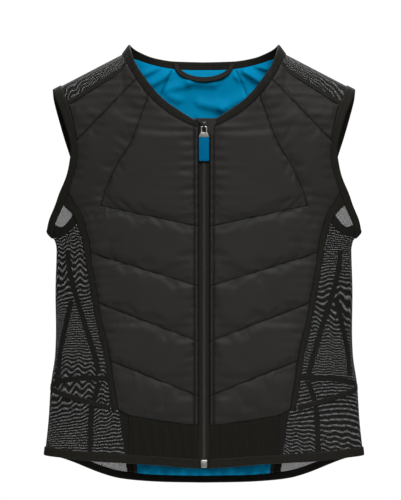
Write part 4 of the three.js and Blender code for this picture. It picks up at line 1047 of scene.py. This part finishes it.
def ribbon(name, grid, half, round_off, material, slot, node, ring=False, lift=0.0, side=1):
    """A tape with rounded edges along a grid of points on the form, from edge to edge."""
    normals = outward(grid)
    run_across = travelled(grid, axis=1)
    near = np.minimum(run_across, run_across[:, [-1]] - run_across) / round_off
    bulge = half * np.sqrt(1 - (1 - np.minimum(near, 1)) ** 2)
    outer = grid + normals * (lift + bulge)[..., None]
    inner = grid + normals * (lift - bulge)[..., None]
    loop = np.concatenate([outer, inner[:, -2:0:-1]], axis=1)
    core = grid.mean(axis=1)
    length = travelled(core)
    flat_across = np.concatenate([run_across, run_across[:, -2:0:-1]], axis=1)
    uv = np.stack(np.broadcast_arrays(flat_across, length[:, None]), axis=-1)
    if ring:
        loop = loop[:-1]
        uv = uv[:-1]
    count, around = loop.shape[:2]
    points = loop.reshape(-1, 3)
    index = np.arange(count * around).reshape(count, around)
    ahead = np.roll(index, -1, axis=0) if ring else index[1:]
    start = index if ring else index[:-1]
    faces = np.stack([start, np.roll(start, -1, axis=1), np.roll(ahead, -1, axis=1), ahead], axis=-1)
    faces = faces.reshape(-1, 4)
    a, b, c, d = (points[faces[:, i]] for i in range(4))
    looks = np.cross(c - a, d - b)
    if (((a + b + c + d) / 4 - np.repeat(core[:len(start)], around, axis=0)) * looks).sum() < 0:
        faces = faces[:, ::-1]
    listed = faces.tolist()
    if not ring:
        used = {(face[i], face[(i + 1) % 4]) for face in listed for i in range(4)}
        for end in (index[0].tolist(), index[-1].tolist()):
            listed.append(end[::-1] if (end[0], end[1]) in used else end)
    if side < 0:
        listed = [face[::-1] for face in listed]
    made = piece(name, points * [side, 1, 1], listed, material, slot, [node], uv=uv.reshape(-1, 2))


stitch_rows = []


def note_stitches(grid, shares, lift, side=1):
    """Remembers rows of stitching along a strip, at shares of its width."""
    normals = outward(grid)
    for share in shares:
        place = share * (grid.shape[1] - 1)
        low = min(int(place), grid.shape[1] - 2)
        line = grid[:, low] * (1 - place + low) + grid[:, low + 1] * (place - low)
        stitch_rows.append((line * [side, 1, 1], normals[:, low] * [side, 1, 1], lift))


def strip_lines(lines):
    """Edge and seam of a course at even steps."""
    shares = np.linspace(0, 1, 500)
    length = travelled(from_chart((lines["edge"](shares) + lines["seam"](shares)) / 2))
    count = max(4, int(length[-1] / TAPE["step"]))
    shares = np.interp(np.linspace(0, length[-1], count + 1), length, shares)
    return lines["edge"](shares), lines["seam"](shares)


def shoulder_strip(ends, face):
    shares = np.linspace(0, 1, 46)
    high = under_ridge(ends, shares, seam_drop(shares) - TAPE_WIDTH)
    low = under_ridge(ends, shares, seam_drop(shares))
    return chart(*high.T, face), chart(*low.T, face)


def waist_strip():
    middle = waist_line(np.linspace(0, 1, 80))
    return middle - [0, TAPE_WIDTH / 2], middle + [0, TAPE_WIDTH / 2]


def laid_strip(rows):
    """A tape along a line of the back, as places across it."""
    line = smooth_run(np.stack(list(rows.values()), axis=-1), 60)
    middle = on_form(line[:, 0], line[:, 1], BACK)
    across = np.cross(outward(middle), np.gradient(middle, axis=0))
    across *= (TAPE_WIDTH / 2 / np.linalg.norm(across, axis=1))[:, None]
    share = -np.cos(np.linspace(0, np.pi, TAPE["across"] + 1))
    return middle[:, None] + across[:, None] * share[:, None]


SEWN_TAPES = {
    "front_edge_tape": strip_lines(front_tape_course),
    "back_edge_tape": strip_lines(back_tape_course),
    "shoulder_front_tape": shoulder_strip(shoulder_front_ends, FRONT),
    "shoulder_back_tape": shoulder_strip(shoulder_back_ends, BACK),
    "waist_tape": waist_strip(),
}
LAID_TAPES = {
    "side_seam_tape": table("x z", (219, -331), (215, -366), (205, -406), (182, -480), (169, -529.5)),
    "gusset_seam_tape": table("x z", (212.5, -411), (220, -443), (229.5, -490), (234, -533)),
    "band_seam_tape": table("x z", (168, -542.5), (181, -590), (184, -667)),
}
for side_name, side in SIDES.items():
    for node, (left, right) in SEWN_TAPES.items():
        grid = from_chart(cross(left, right, TAPE["across"]))
        ribbon(
            f"sewn_{node}_{side_name}", grid, TAPE["half"], TAPE["round"], elastic, "elastic_tape",
            f"{node}_{side_name}", side=side,
        )
        note_stitches(grid, TAPE["sewn"], TAPE["half"], side)
    for node, rows in LAID_TAPES.items():
        grid = laid_strip(rows)
        ribbon(
            f"laid_{node}_{side_name}", grid, LAID["half"], LAID["round"], elastic, "elastic_tape",
            f"{node}_{side_name}", lift=LAID["lift"], side=side,
        )
        note_stitches(grid, TAPE["sewn"], LAID["lift"] + LAID["half"], side)

# Bindings: the same elastic folded over the raw edge of the neck, the armholes and the hem, and sewn
# through with two rows of stitches. The fold is round, and the sewn side steps down to the cloth.
BINDING = {"half": 1.75, "round": 2.4, "across": 12, "over": 0.12, "sewn": (0.62, 0.8)}


def bound(lines):
    """A binding's places from its fold to a little past its seam, over the cloth's edge."""
    edge, seam = strip_lines(lines)
    return from_chart(cross(edge, seam + (seam - edge) * BINDING["over"], BINDING["across"]))


def both_sides(half):
    """A strip that ends at the middle of the back, with its mirror image."""
    return np.concatenate([half, (half * [-1, 1, 1])[::-1][1:]])


neck_half = np.concatenate([bound(neck_front_course), bound(neck_back_course)[1:]])
bindings = {
    "neck_binding": (both_sides(neck_half), False, 1),
    "hem_binding": (both_sides(bound(hem_course)), False, 1),
}
for side_name, side in SIDES.items():
    bindings[f"arm_binding_{side_name}"] = (bound(arm_course), True, side)
for node, (grid, ring, side) in bindings.items():
    ribbon(
        f"bound_{node}", grid, BINDING["half"], BINDING["round"], elastic, "elastic_tape", node, ring=ring,
        side=side,
    )
    note_stitches(grid, BINDING["sewn"], BINDING["half"], side)

# Zip: a nylon coil zip on two woven tapes, sewn behind the front edges. Each tooth is a loop of
# the coil. A small nylon flap at its top keeps the slider off the chin.
ZIP = {
    "top_z": -122, "foot_z": -678, "half": 0.5, "round": 0.6, "gap": 0.02, "under": 0.4, "rows": 190,
    "across": 8,
}
COIL = {"top_z": -139, "foot_z": -663.1, "apart": 0.95, "seat_x": 1.25, "seat": 0.75}
TOOTH = {"half_long": 1.6, "half_deep": 0.8, "half_high": 0.589, "sides": 8}
TOOTH_RINGS = ((-0.75, 0.66), (0, 1), (0.75, 0.66))


def twill_zip_tape(tree):
    """Twill-woven polyester zip tape: black, with a slanting rib."""
    uv = add(tree, "UVMap", "UV", {"uv_map": "cloth"})
    # Twill ribs are about 0.7 mm apart, drawn at 3.9 mm so that they show. Slanting waves are root 2
    # times as far apart as upright ones.
    settings = {"Scale": math.sqrt(2) * WAVE / 0.003908, "bands_direction": "DIAGONAL"}
    twill = add(tree, "TexWave", "Fac", settings, {"Vector": uv})
    black = add(tree, "MixRGB", "Color", {1: linear("100f0d"), 2: linear("1d1c19")}, {0: twill})
    bump = add(tree, "Bump", "Normal", {"Strength": 0.4, "Distance": 0.0003}, {"Height": twill})
    return {"Roughness": 0.7, "Specular IOR Level": 0.06}, {"Base Color": black, "Normal": bump}


def coil_nylon(tree):
    """Moulded nylon coil: black with a soft plastic gloss and tiny scuffs."""
    place = add(tree, "TexCoord", "Object")
    scuff = add(tree, "TexNoise", "Fac", {"Scale": 1 / 0.004, "Detail": 2}, {"Vector": place})
    rough = add(tree, "MapRange", "Result", {"To Min": 0.3, "To Max": 0.5}, {"Value": scuff})
    return {"Base Color": linear("34322e"), "Specular IOR Level": 0.3}, {"Roughness": rough}


twill = finish(twill_zip_tape)
coil = finish(coil_nylon)
for side_name, side in SIDES.items():
    x = ZIP["gap"] + (ZIP_EDGE + ZIP["under"]) * close_at_edges(ZIP["across"])
    z = np.linspace(ZIP["top_z"], ZIP["foot_z"], ZIP["rows"])
    grid = on_form(*np.meshgrid(x, z), FRONT)
    ribbon(
        f"woven_zip_tape_{side_name}", grid, ZIP["half"], ZIP["round"], twill, "nylon_coil",
        f"zip_tape_{side_name}", side=side,
    )


def beads(centres, axes, sides, rings):
    """Rounded grains, each with three half axes: all their points and faces."""
    angle = np.linspace(0, 2 * np.pi, sides, endpoint=False)
    shape = [np.array([[-1.0, 0, 0]])]
    for ahead, wide in rings:
        shape.append(np.stack([np.full(sides, ahead), wide * np.cos(angle), wide * np.sin(angle)], axis=-1))
    shape = np.concatenate([*shape, np.array([[1.0, 0, 0]])])
    last = 1 + (len(rings) - 1) * sides
    faces = []
    for i in range(sides):
        j = (i + 1) % sides
        faces.append([0, 1 + j, 1 + i])
        for k in range(1, last, sides):
            faces.append([k + i, k + j, k + sides + j, k + sides + i])
        faces.append([last + i, last + j, last + sides])
    points = centres[:, None] + np.einsum("pk,nkd->npd", shape, axes)
    every = [[i + len(shape) * n for i in face] for n in range(len(centres)) for face in faces]
    return points.reshape(-1, 3), every


def zip_teeth():
    z = np.arange(COIL["top_z"], COIL["foot_z"], -COIL["apart"])
    turn = np.where(np.arange(len(z)) % 2 == 0, 1, -1)
    seat = on_form(COIL["seat_x"] * turn, z, FRONT)
    out = outward(seat)
    across = turn[:, None] * [TOOTH["half_long"], 0, 0]
    up = np.broadcast_to([0, 0, TOOTH["half_high"]], (len(z), 3))
    axes = np.stack([across, out * TOOTH["half_deep"], up], axis=1)
    points, faces = beads(seat + out * (ZIP["half"] + COIL["seat"]), axes, TOOTH["sides"], TOOTH_RINGS)
    piece("zip_coil", points, faces, coil, "nylon_coil", ["zip_chain"])


zip_teeth()
FLAP = {"start": 2, "wall": 0.9, "puff": 0.35, "rows": 24, "columns": 22}
FLAP_SIDES = table(
    "z left right",
    (-119.5, -16, 19.5), (-127, -7.4, 19.5), (-132, 0.7, 17), (-139, 4.2, 15.2), (-147, 9, 15.2),
)


def zip_flap():
    down = np.linspace(0, 1, FLAP["rows"])[:, None]
    across = np.linspace(0, 1, FLAP["columns"])
    level_z = FLAP_SIDES["z"][0] + (FLAP_SIDES["z"][-1] - FLAP_SIDES["z"][0]) * down
    left, right = (follow(FLAP_SIDES, "z", side)(level_z) for side in ("left", "right"))
    x = left + (right - left) * across
    z = np.broadcast_to(level_z, x.shape)
    base = on_form(x, z, FRONT)
    normal = outward(base)
    puff = FLAP["puff"] * np.sin(np.pi * down) * np.sin(np.pi * across)
    outer = base + normal * (FLAP["start"] + FLAP["wall"] + puff)[..., None]
    points, faces = closed_sheet(outer, base + normal * FLAP["start"])
    flat = np.tile(np.stack([x, z], axis=-1).reshape(-1, 2), (2, 1))
    # No painted shade on the flap: its 'padding' attribute is 1 all over, so the nylon keeps its plain
    # colour.
    made = piece(
        "zip_flap", points, faces, nylon, "quilted_nylon", ["zip_garage"], uv=flat,
        painted_seam_shade=np.ones(len(points)),
    )


zip_flap()

# Slider, stop and pull: die-cast zinc with soft edges, the slider lacquered black and the others nickel
# plated. The pull hangs on the slider's bridge and ends in a tab of blue rubber moulded onto it.
PULL = {
    "bar_z": -133.5, "eye": 8.2, "bar": 1.5, "arm": 4.8, "soft": 0.6, "neck": 11, "neck_drop": 0.8,
    "foot": 17.6, "height": 8, "wall": 1.8, "bevel": 0.4,
}
CHAIN = {"start": 0.9, "wall": 1.6, "play": 0.7}
SLIDER = {"wall": 1.8, "bevel": 0.5, "top_z": -125}
SLIDER_SIDES = [(3.2, -142), (4, -141.2), (4.4, -134.35), (5.4, -129.08), (5, -127.04), (3.4, -125)]
SLIDER_INNER = on_form(0.0, PULL["bar_z"], FRONT)[1] - sum(CHAIN.values())
SLIDER_FACE = SLIDER_INNER - SLIDER["wall"]
BRIDGE = {
    "width": 3, "out": 4.2, "bar": 1.5, "round": 1, "corner": 0.3, "sunk": -0.6, "play": 0.6, "bevel": 0.35,
}
BAR_Y = SLIDER_FACE - (BRIDGE["out"] - BRIDGE["bar"]) / 2


def plated_nickel(tree):
    """Tumbled nickel plate: bright grey metal with a satin surface and fine scuffs."""
    place = add(tree, "TexCoord", "Object")
    scuff = add(tree, "TexNoise", "Fac", {"Scale": 1 / 0.003, "Detail": 4}, {"Vector": place})
    rough = add(tree, "MapRange", "Result", {"To Min": 0.2, "To Max": 0.42}, {"Value": scuff})
    bump = add(tree, "Bump", "Normal", {"Strength": 0.1, "Distance": 0.0002}, {"Height": scuff})
    return {"Base Color": linear("bcbab4"), "Metallic": 1}, {"Roughness": rough, "Normal": bump}


def black_lacquer(tree):
    """Baked black lacquer on cast zinc: satin, rubbed a little unevenly."""
    place = add(tree, "TexCoord", "Object")
    rub = add(tree, "TexNoise", "Fac", {"Scale": 1 / 0.003, "Detail": 3}, {"Vector": place})
    rough = add(tree, "MapRange", "Result", {"To Min": 0.3, "To Max": 0.5}, {"Value": rub})
    return {"Base Color": linear("100f0f"), "Specular IOR Level": 0.3}, {"Roughness": rough}


def plate(outlines, wall, bevel):
    """A flat plate with soft edges: points as across, up and out, and faces."""
    flat = bpy.data.curves.new("plate", "CURVE")
    flat.dimensions = "2D"
    flat.fill_mode = "BOTH"
    flat.extrude = wall / 2 - bevel
    flat.bevel_depth = bevel
    flat.bevel_resolution = 2
    flat.offset = -bevel
    for outline in outlines:
        line = flat.splines.new("POLY")
        line.points.add(len(outline) - 1)
        line.points.foreach_set("co", np.array([(x, y, 0, 1) for x, y in outline], np.float32).ravel())
        line.use_cyclic_u = True
    holder = bpy.data.objects.new("plate", flat)
    bpy.context.scene.collection.objects.link(holder)
    mesh = holder.evaluated_get(bpy.context.evaluated_depsgraph_get()).to_mesh()
    points = np.array([v.co[:] for v in mesh.vertices])
    faces = [list(p.vertices) for p in mesh.polygons]
    bpy.data.objects.remove(holder)
    first, place = same_points(points, 1e-4)
    faces = [list(dict.fromkeys(int(place[i]) for i in face)) for face in faces]
    return points[first], [face for face in faces if len(face) > 2]


def facing_front(made, y):
    """A plate set parallel to the front, at a distance along y."""
    points, faces = made
    across, up, out = points.T
    return np.stack([across, y - out, up], axis=-1), faces


def joined(*parts):
    """Several meshes as one: all their points and faces."""
    points, faces = [], []
    for part, part_faces in parts:
        faces += [[i + len(points) for i in face] for face in part_faces]
        points += list(part)
    return np.array(points), faces


def mirrored(sides):
    return [*sides, *[(-x, z) for x, z in reversed(sides)]]


nickel = finish(plated_nickel)
lacquer = finish(black_lacquer)


def zip_slider():
    body = plate([mirrored(SLIDER_SIDES)], SLIDER["wall"], SLIDER["bevel"])
    low = PULL["bar_z"] - PULL["bar"] / 2 - BRIDGE["play"]
    top = SLIDER["top_z"] - BRIDGE["round"]
    out, bar, soft, corner, sunk = (BRIDGE[key] for key in ("out", "bar", "round", "corner", "sunk"))
    foot = low - bar
    arch = [
        (sunk, foot), (out - soft, foot), (out - corner, foot + corner), (out, foot + soft),
        (out, top - soft), (out - corner, top - corner), (out - soft, top), (sunk, top),
        (sunk, top - bar), (out - bar, top - bar), (out - bar, low), (sunk, low),
    ]
    points, faces = plate([arch], BRIDGE["width"], BRIDGE["bevel"])
    across, up, deep = points.T
    bridge = np.stack([deep, SLIDER_FACE - across, up], axis=-1), faces
    points, faces = joined(facing_front(body, SLIDER_INNER - SLIDER["wall"] / 2), bridge)
    piece("lacquered_slider", points, faces, lacquer, "black_lacquer", ["zip_slider"])


zip_slider()
STOP = {"half": 4.8, "top_z": -664.5, "foot_z": -676.5, "wall": 2.6, "bevel": 0.6}
STOP_RIB = {"half": 0.45, "short": 1.2, "wall": 0.5, "bevel": 0.2, "out": 0.15}


def zip_stop():
    """A plain block with a low upright rib on its face."""
    half, top, foot = STOP["half"], STOP["top_z"], STOP["foot_z"]
    block = plate([mirrored([(half, foot), (half, top)])], STOP["wall"], STOP["bevel"])
    half, short = STOP_RIB["half"], STOP_RIB["short"]
    outline = mirrored([(half, foot + short), (half, top - short)])
    rib = plate([outline], STOP_RIB["wall"], STOP_RIB["bevel"])
    inner = on_form(0.0, top, FRONT)[1] - CHAIN["start"]
    points, faces = joined(
        facing_front(block, inner - STOP["wall"] / 2),
        facing_front(rib, inner - STOP["wall"] - STOP_RIB["out"]),
    )
    piece("nickel_stop", points, faces, nickel, "nickel", ["zip_stop"])


zip_stop()


def zip_pull():
    bar_z, arm, soft = PULL["bar_z"], PULL["arm"], PULL["soft"]
    half = PULL["bar"] / 2
    top = bar_z - PULL["eye"]
    sides = [
        (arm - soft, bar_z + half), (arm, bar_z + half - soft), (arm, top),
        (PULL["neck"] / 2, top - PULL["neck_drop"]), (PULL["foot"] / 2, top - PULL["height"]),
    ]
    eye = mirrored([(arm - PULL["bar"], bar_z - half), (arm - PULL["bar"], top - half)])
    points, faces = facing_front(plate([mirrored(sides), eye], PULL["wall"], PULL["bevel"]), BAR_Y)
    piece("nickel_pull", points, faces, nickel, "nickel", ["zip_pull"], body="zip_pull")


zip_pull()
TAB = {"half": 8, "length": 38, "wall": 2.4, "bevel": 0.6, "corner": 2, "gap": 0.3}
TAB_PANEL = {"inset": 2, "top_inset": 2.4, "wall": 0.8, "bevel": 0.25, "corner": 1.2}


def moulded_rubber(tree):
    """Injection-moulded silicone rubber: even blue, satin, with a very fine skin."""
    place = add(tree, "TexCoord", "Object")
    cloud = add(tree, "TexNoise", "Fac", {"Scale": 1 / 0.012, "Detail": 2}, {"Vector": place})
    blue = add(tree, "MixRGB", "Color", {1: linear("004d6f"), 2: linear("005377")}, {0: cloud})
    skin = add(tree, "TexNoise", "Fac", {"Scale": 1 / 0.0008, "Detail": 1}, {"Vector": place})
    bump = add(tree, "Bump", "Normal", {"Strength": 0.1, "Distance": 0.0001}, {"Height": skin})
    return {"Roughness": 0.45, "Specular IOR Level": 0.01}, {"Base Color": blue, "Normal": bump}


def rounded(half, foot, top, corner):
    """An upright plate's outline with round lower corners."""
    arc = np.linspace(0, np.pi / 2, 6)
    low = [(half - corner + corner * math.sin(a), foot + corner - corner * math.cos(a)) for a in arc]
    return mirrored([*low, (half, top)])


def pull_tab():
    top = PULL["bar_z"] - PULL["eye"] - PULL["height"] - TAB["gap"]
    foot = top - TAB["length"]
    tab = plate([rounded(TAB["half"], foot, top, TAB["corner"])], TAB["wall"], TAB["bevel"])
    inset = TAB_PANEL["inset"]
    outline = rounded(TAB["half"] - inset, foot + inset, top - TAB_PANEL["top_inset"], TAB_PANEL["corner"])
    panel = plate([outline], TAB_PANEL["wall"], TAB_PANEL["bevel"])
    panels = [facing_front(panel, BAR_Y + side * TAB["wall"] / 2) for side in (FRONT, BACK)]
    points, faces = joined(facing_front(tab, BAR_Y), *panels)
    rubber = finish(moulded_rubber)
    piece("rubber_tab", points, faces, rubber, "moulded_rubber", ["zip_pull_tab"], body="zip_pull")


pull_tab()

# Hanger loop: black grosgrain tape sewn inside the back of the neck at both ends, standing off the
# lining in the middle so that it goes over a hook.
LOOP = {
    "half": 49, "top_z": -29, "drop": 29, "tape": 8, "wall": 1.2, "round": 0.7, "stand_off": 13,
    "seated": 1.9, "steps": 90, "across": 8,
}


def hanger_loop():
    angle = np.linspace(0, np.pi, LOOP["steps"])[:, None]
    inset = LOOP["tape"] * close_at_edges(LOOP["across"])
    x = -(LOOP["half"] - inset) * np.cos(angle)
    z = LOOP["top_z"] - (LOOP["drop"] - inset) * np.sin(angle)
    base = on_form(x, z, BACK)
    away = LOOP["seated"] + (LOOP["stand_off"] - LOOP["seated"]) * (LOOP["top_z"] - z) / LOOP["drop"]
    grid = base - outward(base) * (away + LOOP["wall"] / 2)[..., None]
    ribbon("grosgrain_loop", grid, LOOP["wall"] / 2, LOOP["round"], elastic, "elastic_tape", "hanger_loop")


hanger_loop()

# Stitching: black polyester thread in lock stitches along every quilted line, tape and binding. Each
# stitch is a short grain that lies on the cloth.
STITCH = {"pitch": 3.2, "half_length": 1.15, "half_width": 0.42, "half_height": 0.3, "sides": 4}
QUILT_STITCH = {"lift": 0.15, "step": 2}


def spun_thread(tree):
    """Spun polyester thread: black with a faint gloss."""
    place = add(tree, "TexCoord", "Object")
    ply = add(tree, "TexNoise", "Fac", {"Scale": 1 / 0.0015}, {"Vector": place})
    black = add(tree, "MixRGB", "Color", {1: linear("0d0c0b"), 2: linear("161513")}, {0: ply})
    return {"Roughness": 0.5, "Specular IOR Level": 0.08}, {"Base Color": black}


def sew(name, rows):
    """Stitches at even steps along lines on the cloth, as one mesh."""
    centres, axes = [], []
    for line, normals, lift in rows:
        length = travelled(line)
        places = np.arange(STITCH["pitch"] / 2, length[-1], STITCH["pitch"])
        out = along(normals, length, places)
        ahead = along(np.gradient(line, length, axis=0), length, places)
        ahead /= np.linalg.norm(ahead, axis=1, keepdims=True)
        beside = np.cross(out, ahead)
        centres.append(along(line, length, places) + out * lift)
        axes.append(np.stack([
            ahead * STITCH["half_length"], beside * STITCH["half_width"], out * STITCH["half_height"],
        ], axis=1))
    points, faces = beads(np.concatenate(centres), np.concatenate(axes), STITCH["sides"], ((0, 1),))
    piece(name, points, faces, thread, "elastic_tape")


thread = finish(spun_thread)
sew("tape_stitching", stitch_rows)
quilt_rows = []
for face, lines in ((FRONT, front_lines), (BACK, back_lines)):
    for line in lines:
        places = run(line, int(np.linalg.norm(np.diff(line, axis=0), axis=1).sum() / QUILT_STITCH["step"]))
        for side in SIDES.values():
            points = on_form(places[:, 0] * side, places[:, 1], face)
            quilt_rows.append((points, outward(points), QUILT["stitched"] + QUILT_STITCH["lift"]))
sew("quilt_stitching", quilt_rows)

# Studio: a plain pale floor well below the hanging vest, a white surround, and two large soft lights, one
# from the upper right of the front and one high behind. The camera looks straight at the front.
FLOOR = {"z": -2.6, "half": 1.5}
LIGHTS = {
    "front": {"strength": 4.5, "height": 42, "turn": 12},
    "behind": {"strength": 4.4, "height": 56, "turn": 180},
}
LIGHT_SPREAD = 40
GLOW = {"below": 0.2, "above": 0.6, "full_at": 0.6, "seen": 1.02}
WHITE = (1, 1, 1, 1)
CAMERA = {"distance": 8.0, "x": -0.0056, "y": -0.03, "z": -0.3296, "height": 0.8, "sensor": 36, "far": 200}


def pale_floor(tree):
    """Matt near-white board."""
    return {"Base Color": linear("fafafa"), "Roughness": 0.9, "Specular IOR Level": 0.1}, {}


def lay_floor():
    mesh = bpy.data.meshes.new("floor")
    half = FLOOR["half"]
    corners = [(x * half, y * half, FLOOR["z"]) for x, y in ((-1, -1), (1, -1), (1, 1), (-1, 1))]
    mesh.from_pydata(corners, [], [(0, 1, 2, 3)])
    mesh.materials.append(finish(pale_floor))
    floor = bpy.data.objects.new("floor", mesh)
    bpy.context.scene.collection.objects.link(floor)


def soft_light(name, strength, height, turn):
    """A broad light, as from a large soft box, turned round the vest from straight in front."""
    light = bpy.data.lights.new(f"soft_box_{name}", "SUN")
    light.energy = strength
    light.angle = math.radians(LIGHT_SPREAD)
    lamp = bpy.data.objects.new(f"soft_box_{name}", light)
    bpy.context.scene.collection.objects.link(lamp)
    lamp.rotation_euler = (math.radians(90 - height), 0, math.radians(turn))


def surround():
    """White behind the vest, and a dimmer glow on it that is stronger from above."""
    world = bpy.data.worlds.new("surround")
    world.use_nodes = True
    tree = world.node_tree
    tree.nodes.clear()
    place = add(tree, "TexCoord", "Generated")
    up = add(tree, "SeparateXYZ", "Z", links={"Vector": place})
    bounds = {"From Min": 0, "From Max": GLOW["full_at"], "To Min": GLOW["below"], "To Max": GLOW["above"]}
    rise = add(tree, "MapRange", "Result", bounds, {"Value": up})
    glow = add(tree, "Background", "Background", {"Color": WHITE}, {"Strength": rise})
    white = add(tree, "Background", "Background", {"Color": WHITE, "Strength": GLOW["seen"]})
    seen = add(tree, "LightPath", "Is Camera Ray")
    both = add(tree, "MixShader", "Shader", links={0: seen, 1: glow, 2: white})
    add(tree, "OutputWorld", links={"Surface": both})
    bpy.context.scene.world = world


lay_floor()
for name, light in LIGHTS.items():
    soft_light(name, **light)
surround()
bpy.context.scene.view_settings.view_transform = "Standard"

lens = bpy.data.cameras.new("camera")
lens.sensor_width = CAMERA["sensor"]
lens.lens = lens.sensor_width * CAMERA["distance"] / CAMERA["height"]
lens.clip_end = CAMERA["far"]
camera = bpy.data.objects.new("camera", lens)
bpy.context.scene.collection.objects.link(camera)
camera.location = (CAMERA["x"], CAMERA["y"] - CAMERA["distance"], CAMERA["z"])
camera.rotation_euler = (math.pi / 2, 0, 0)
bpy.context.scene.camera = camera
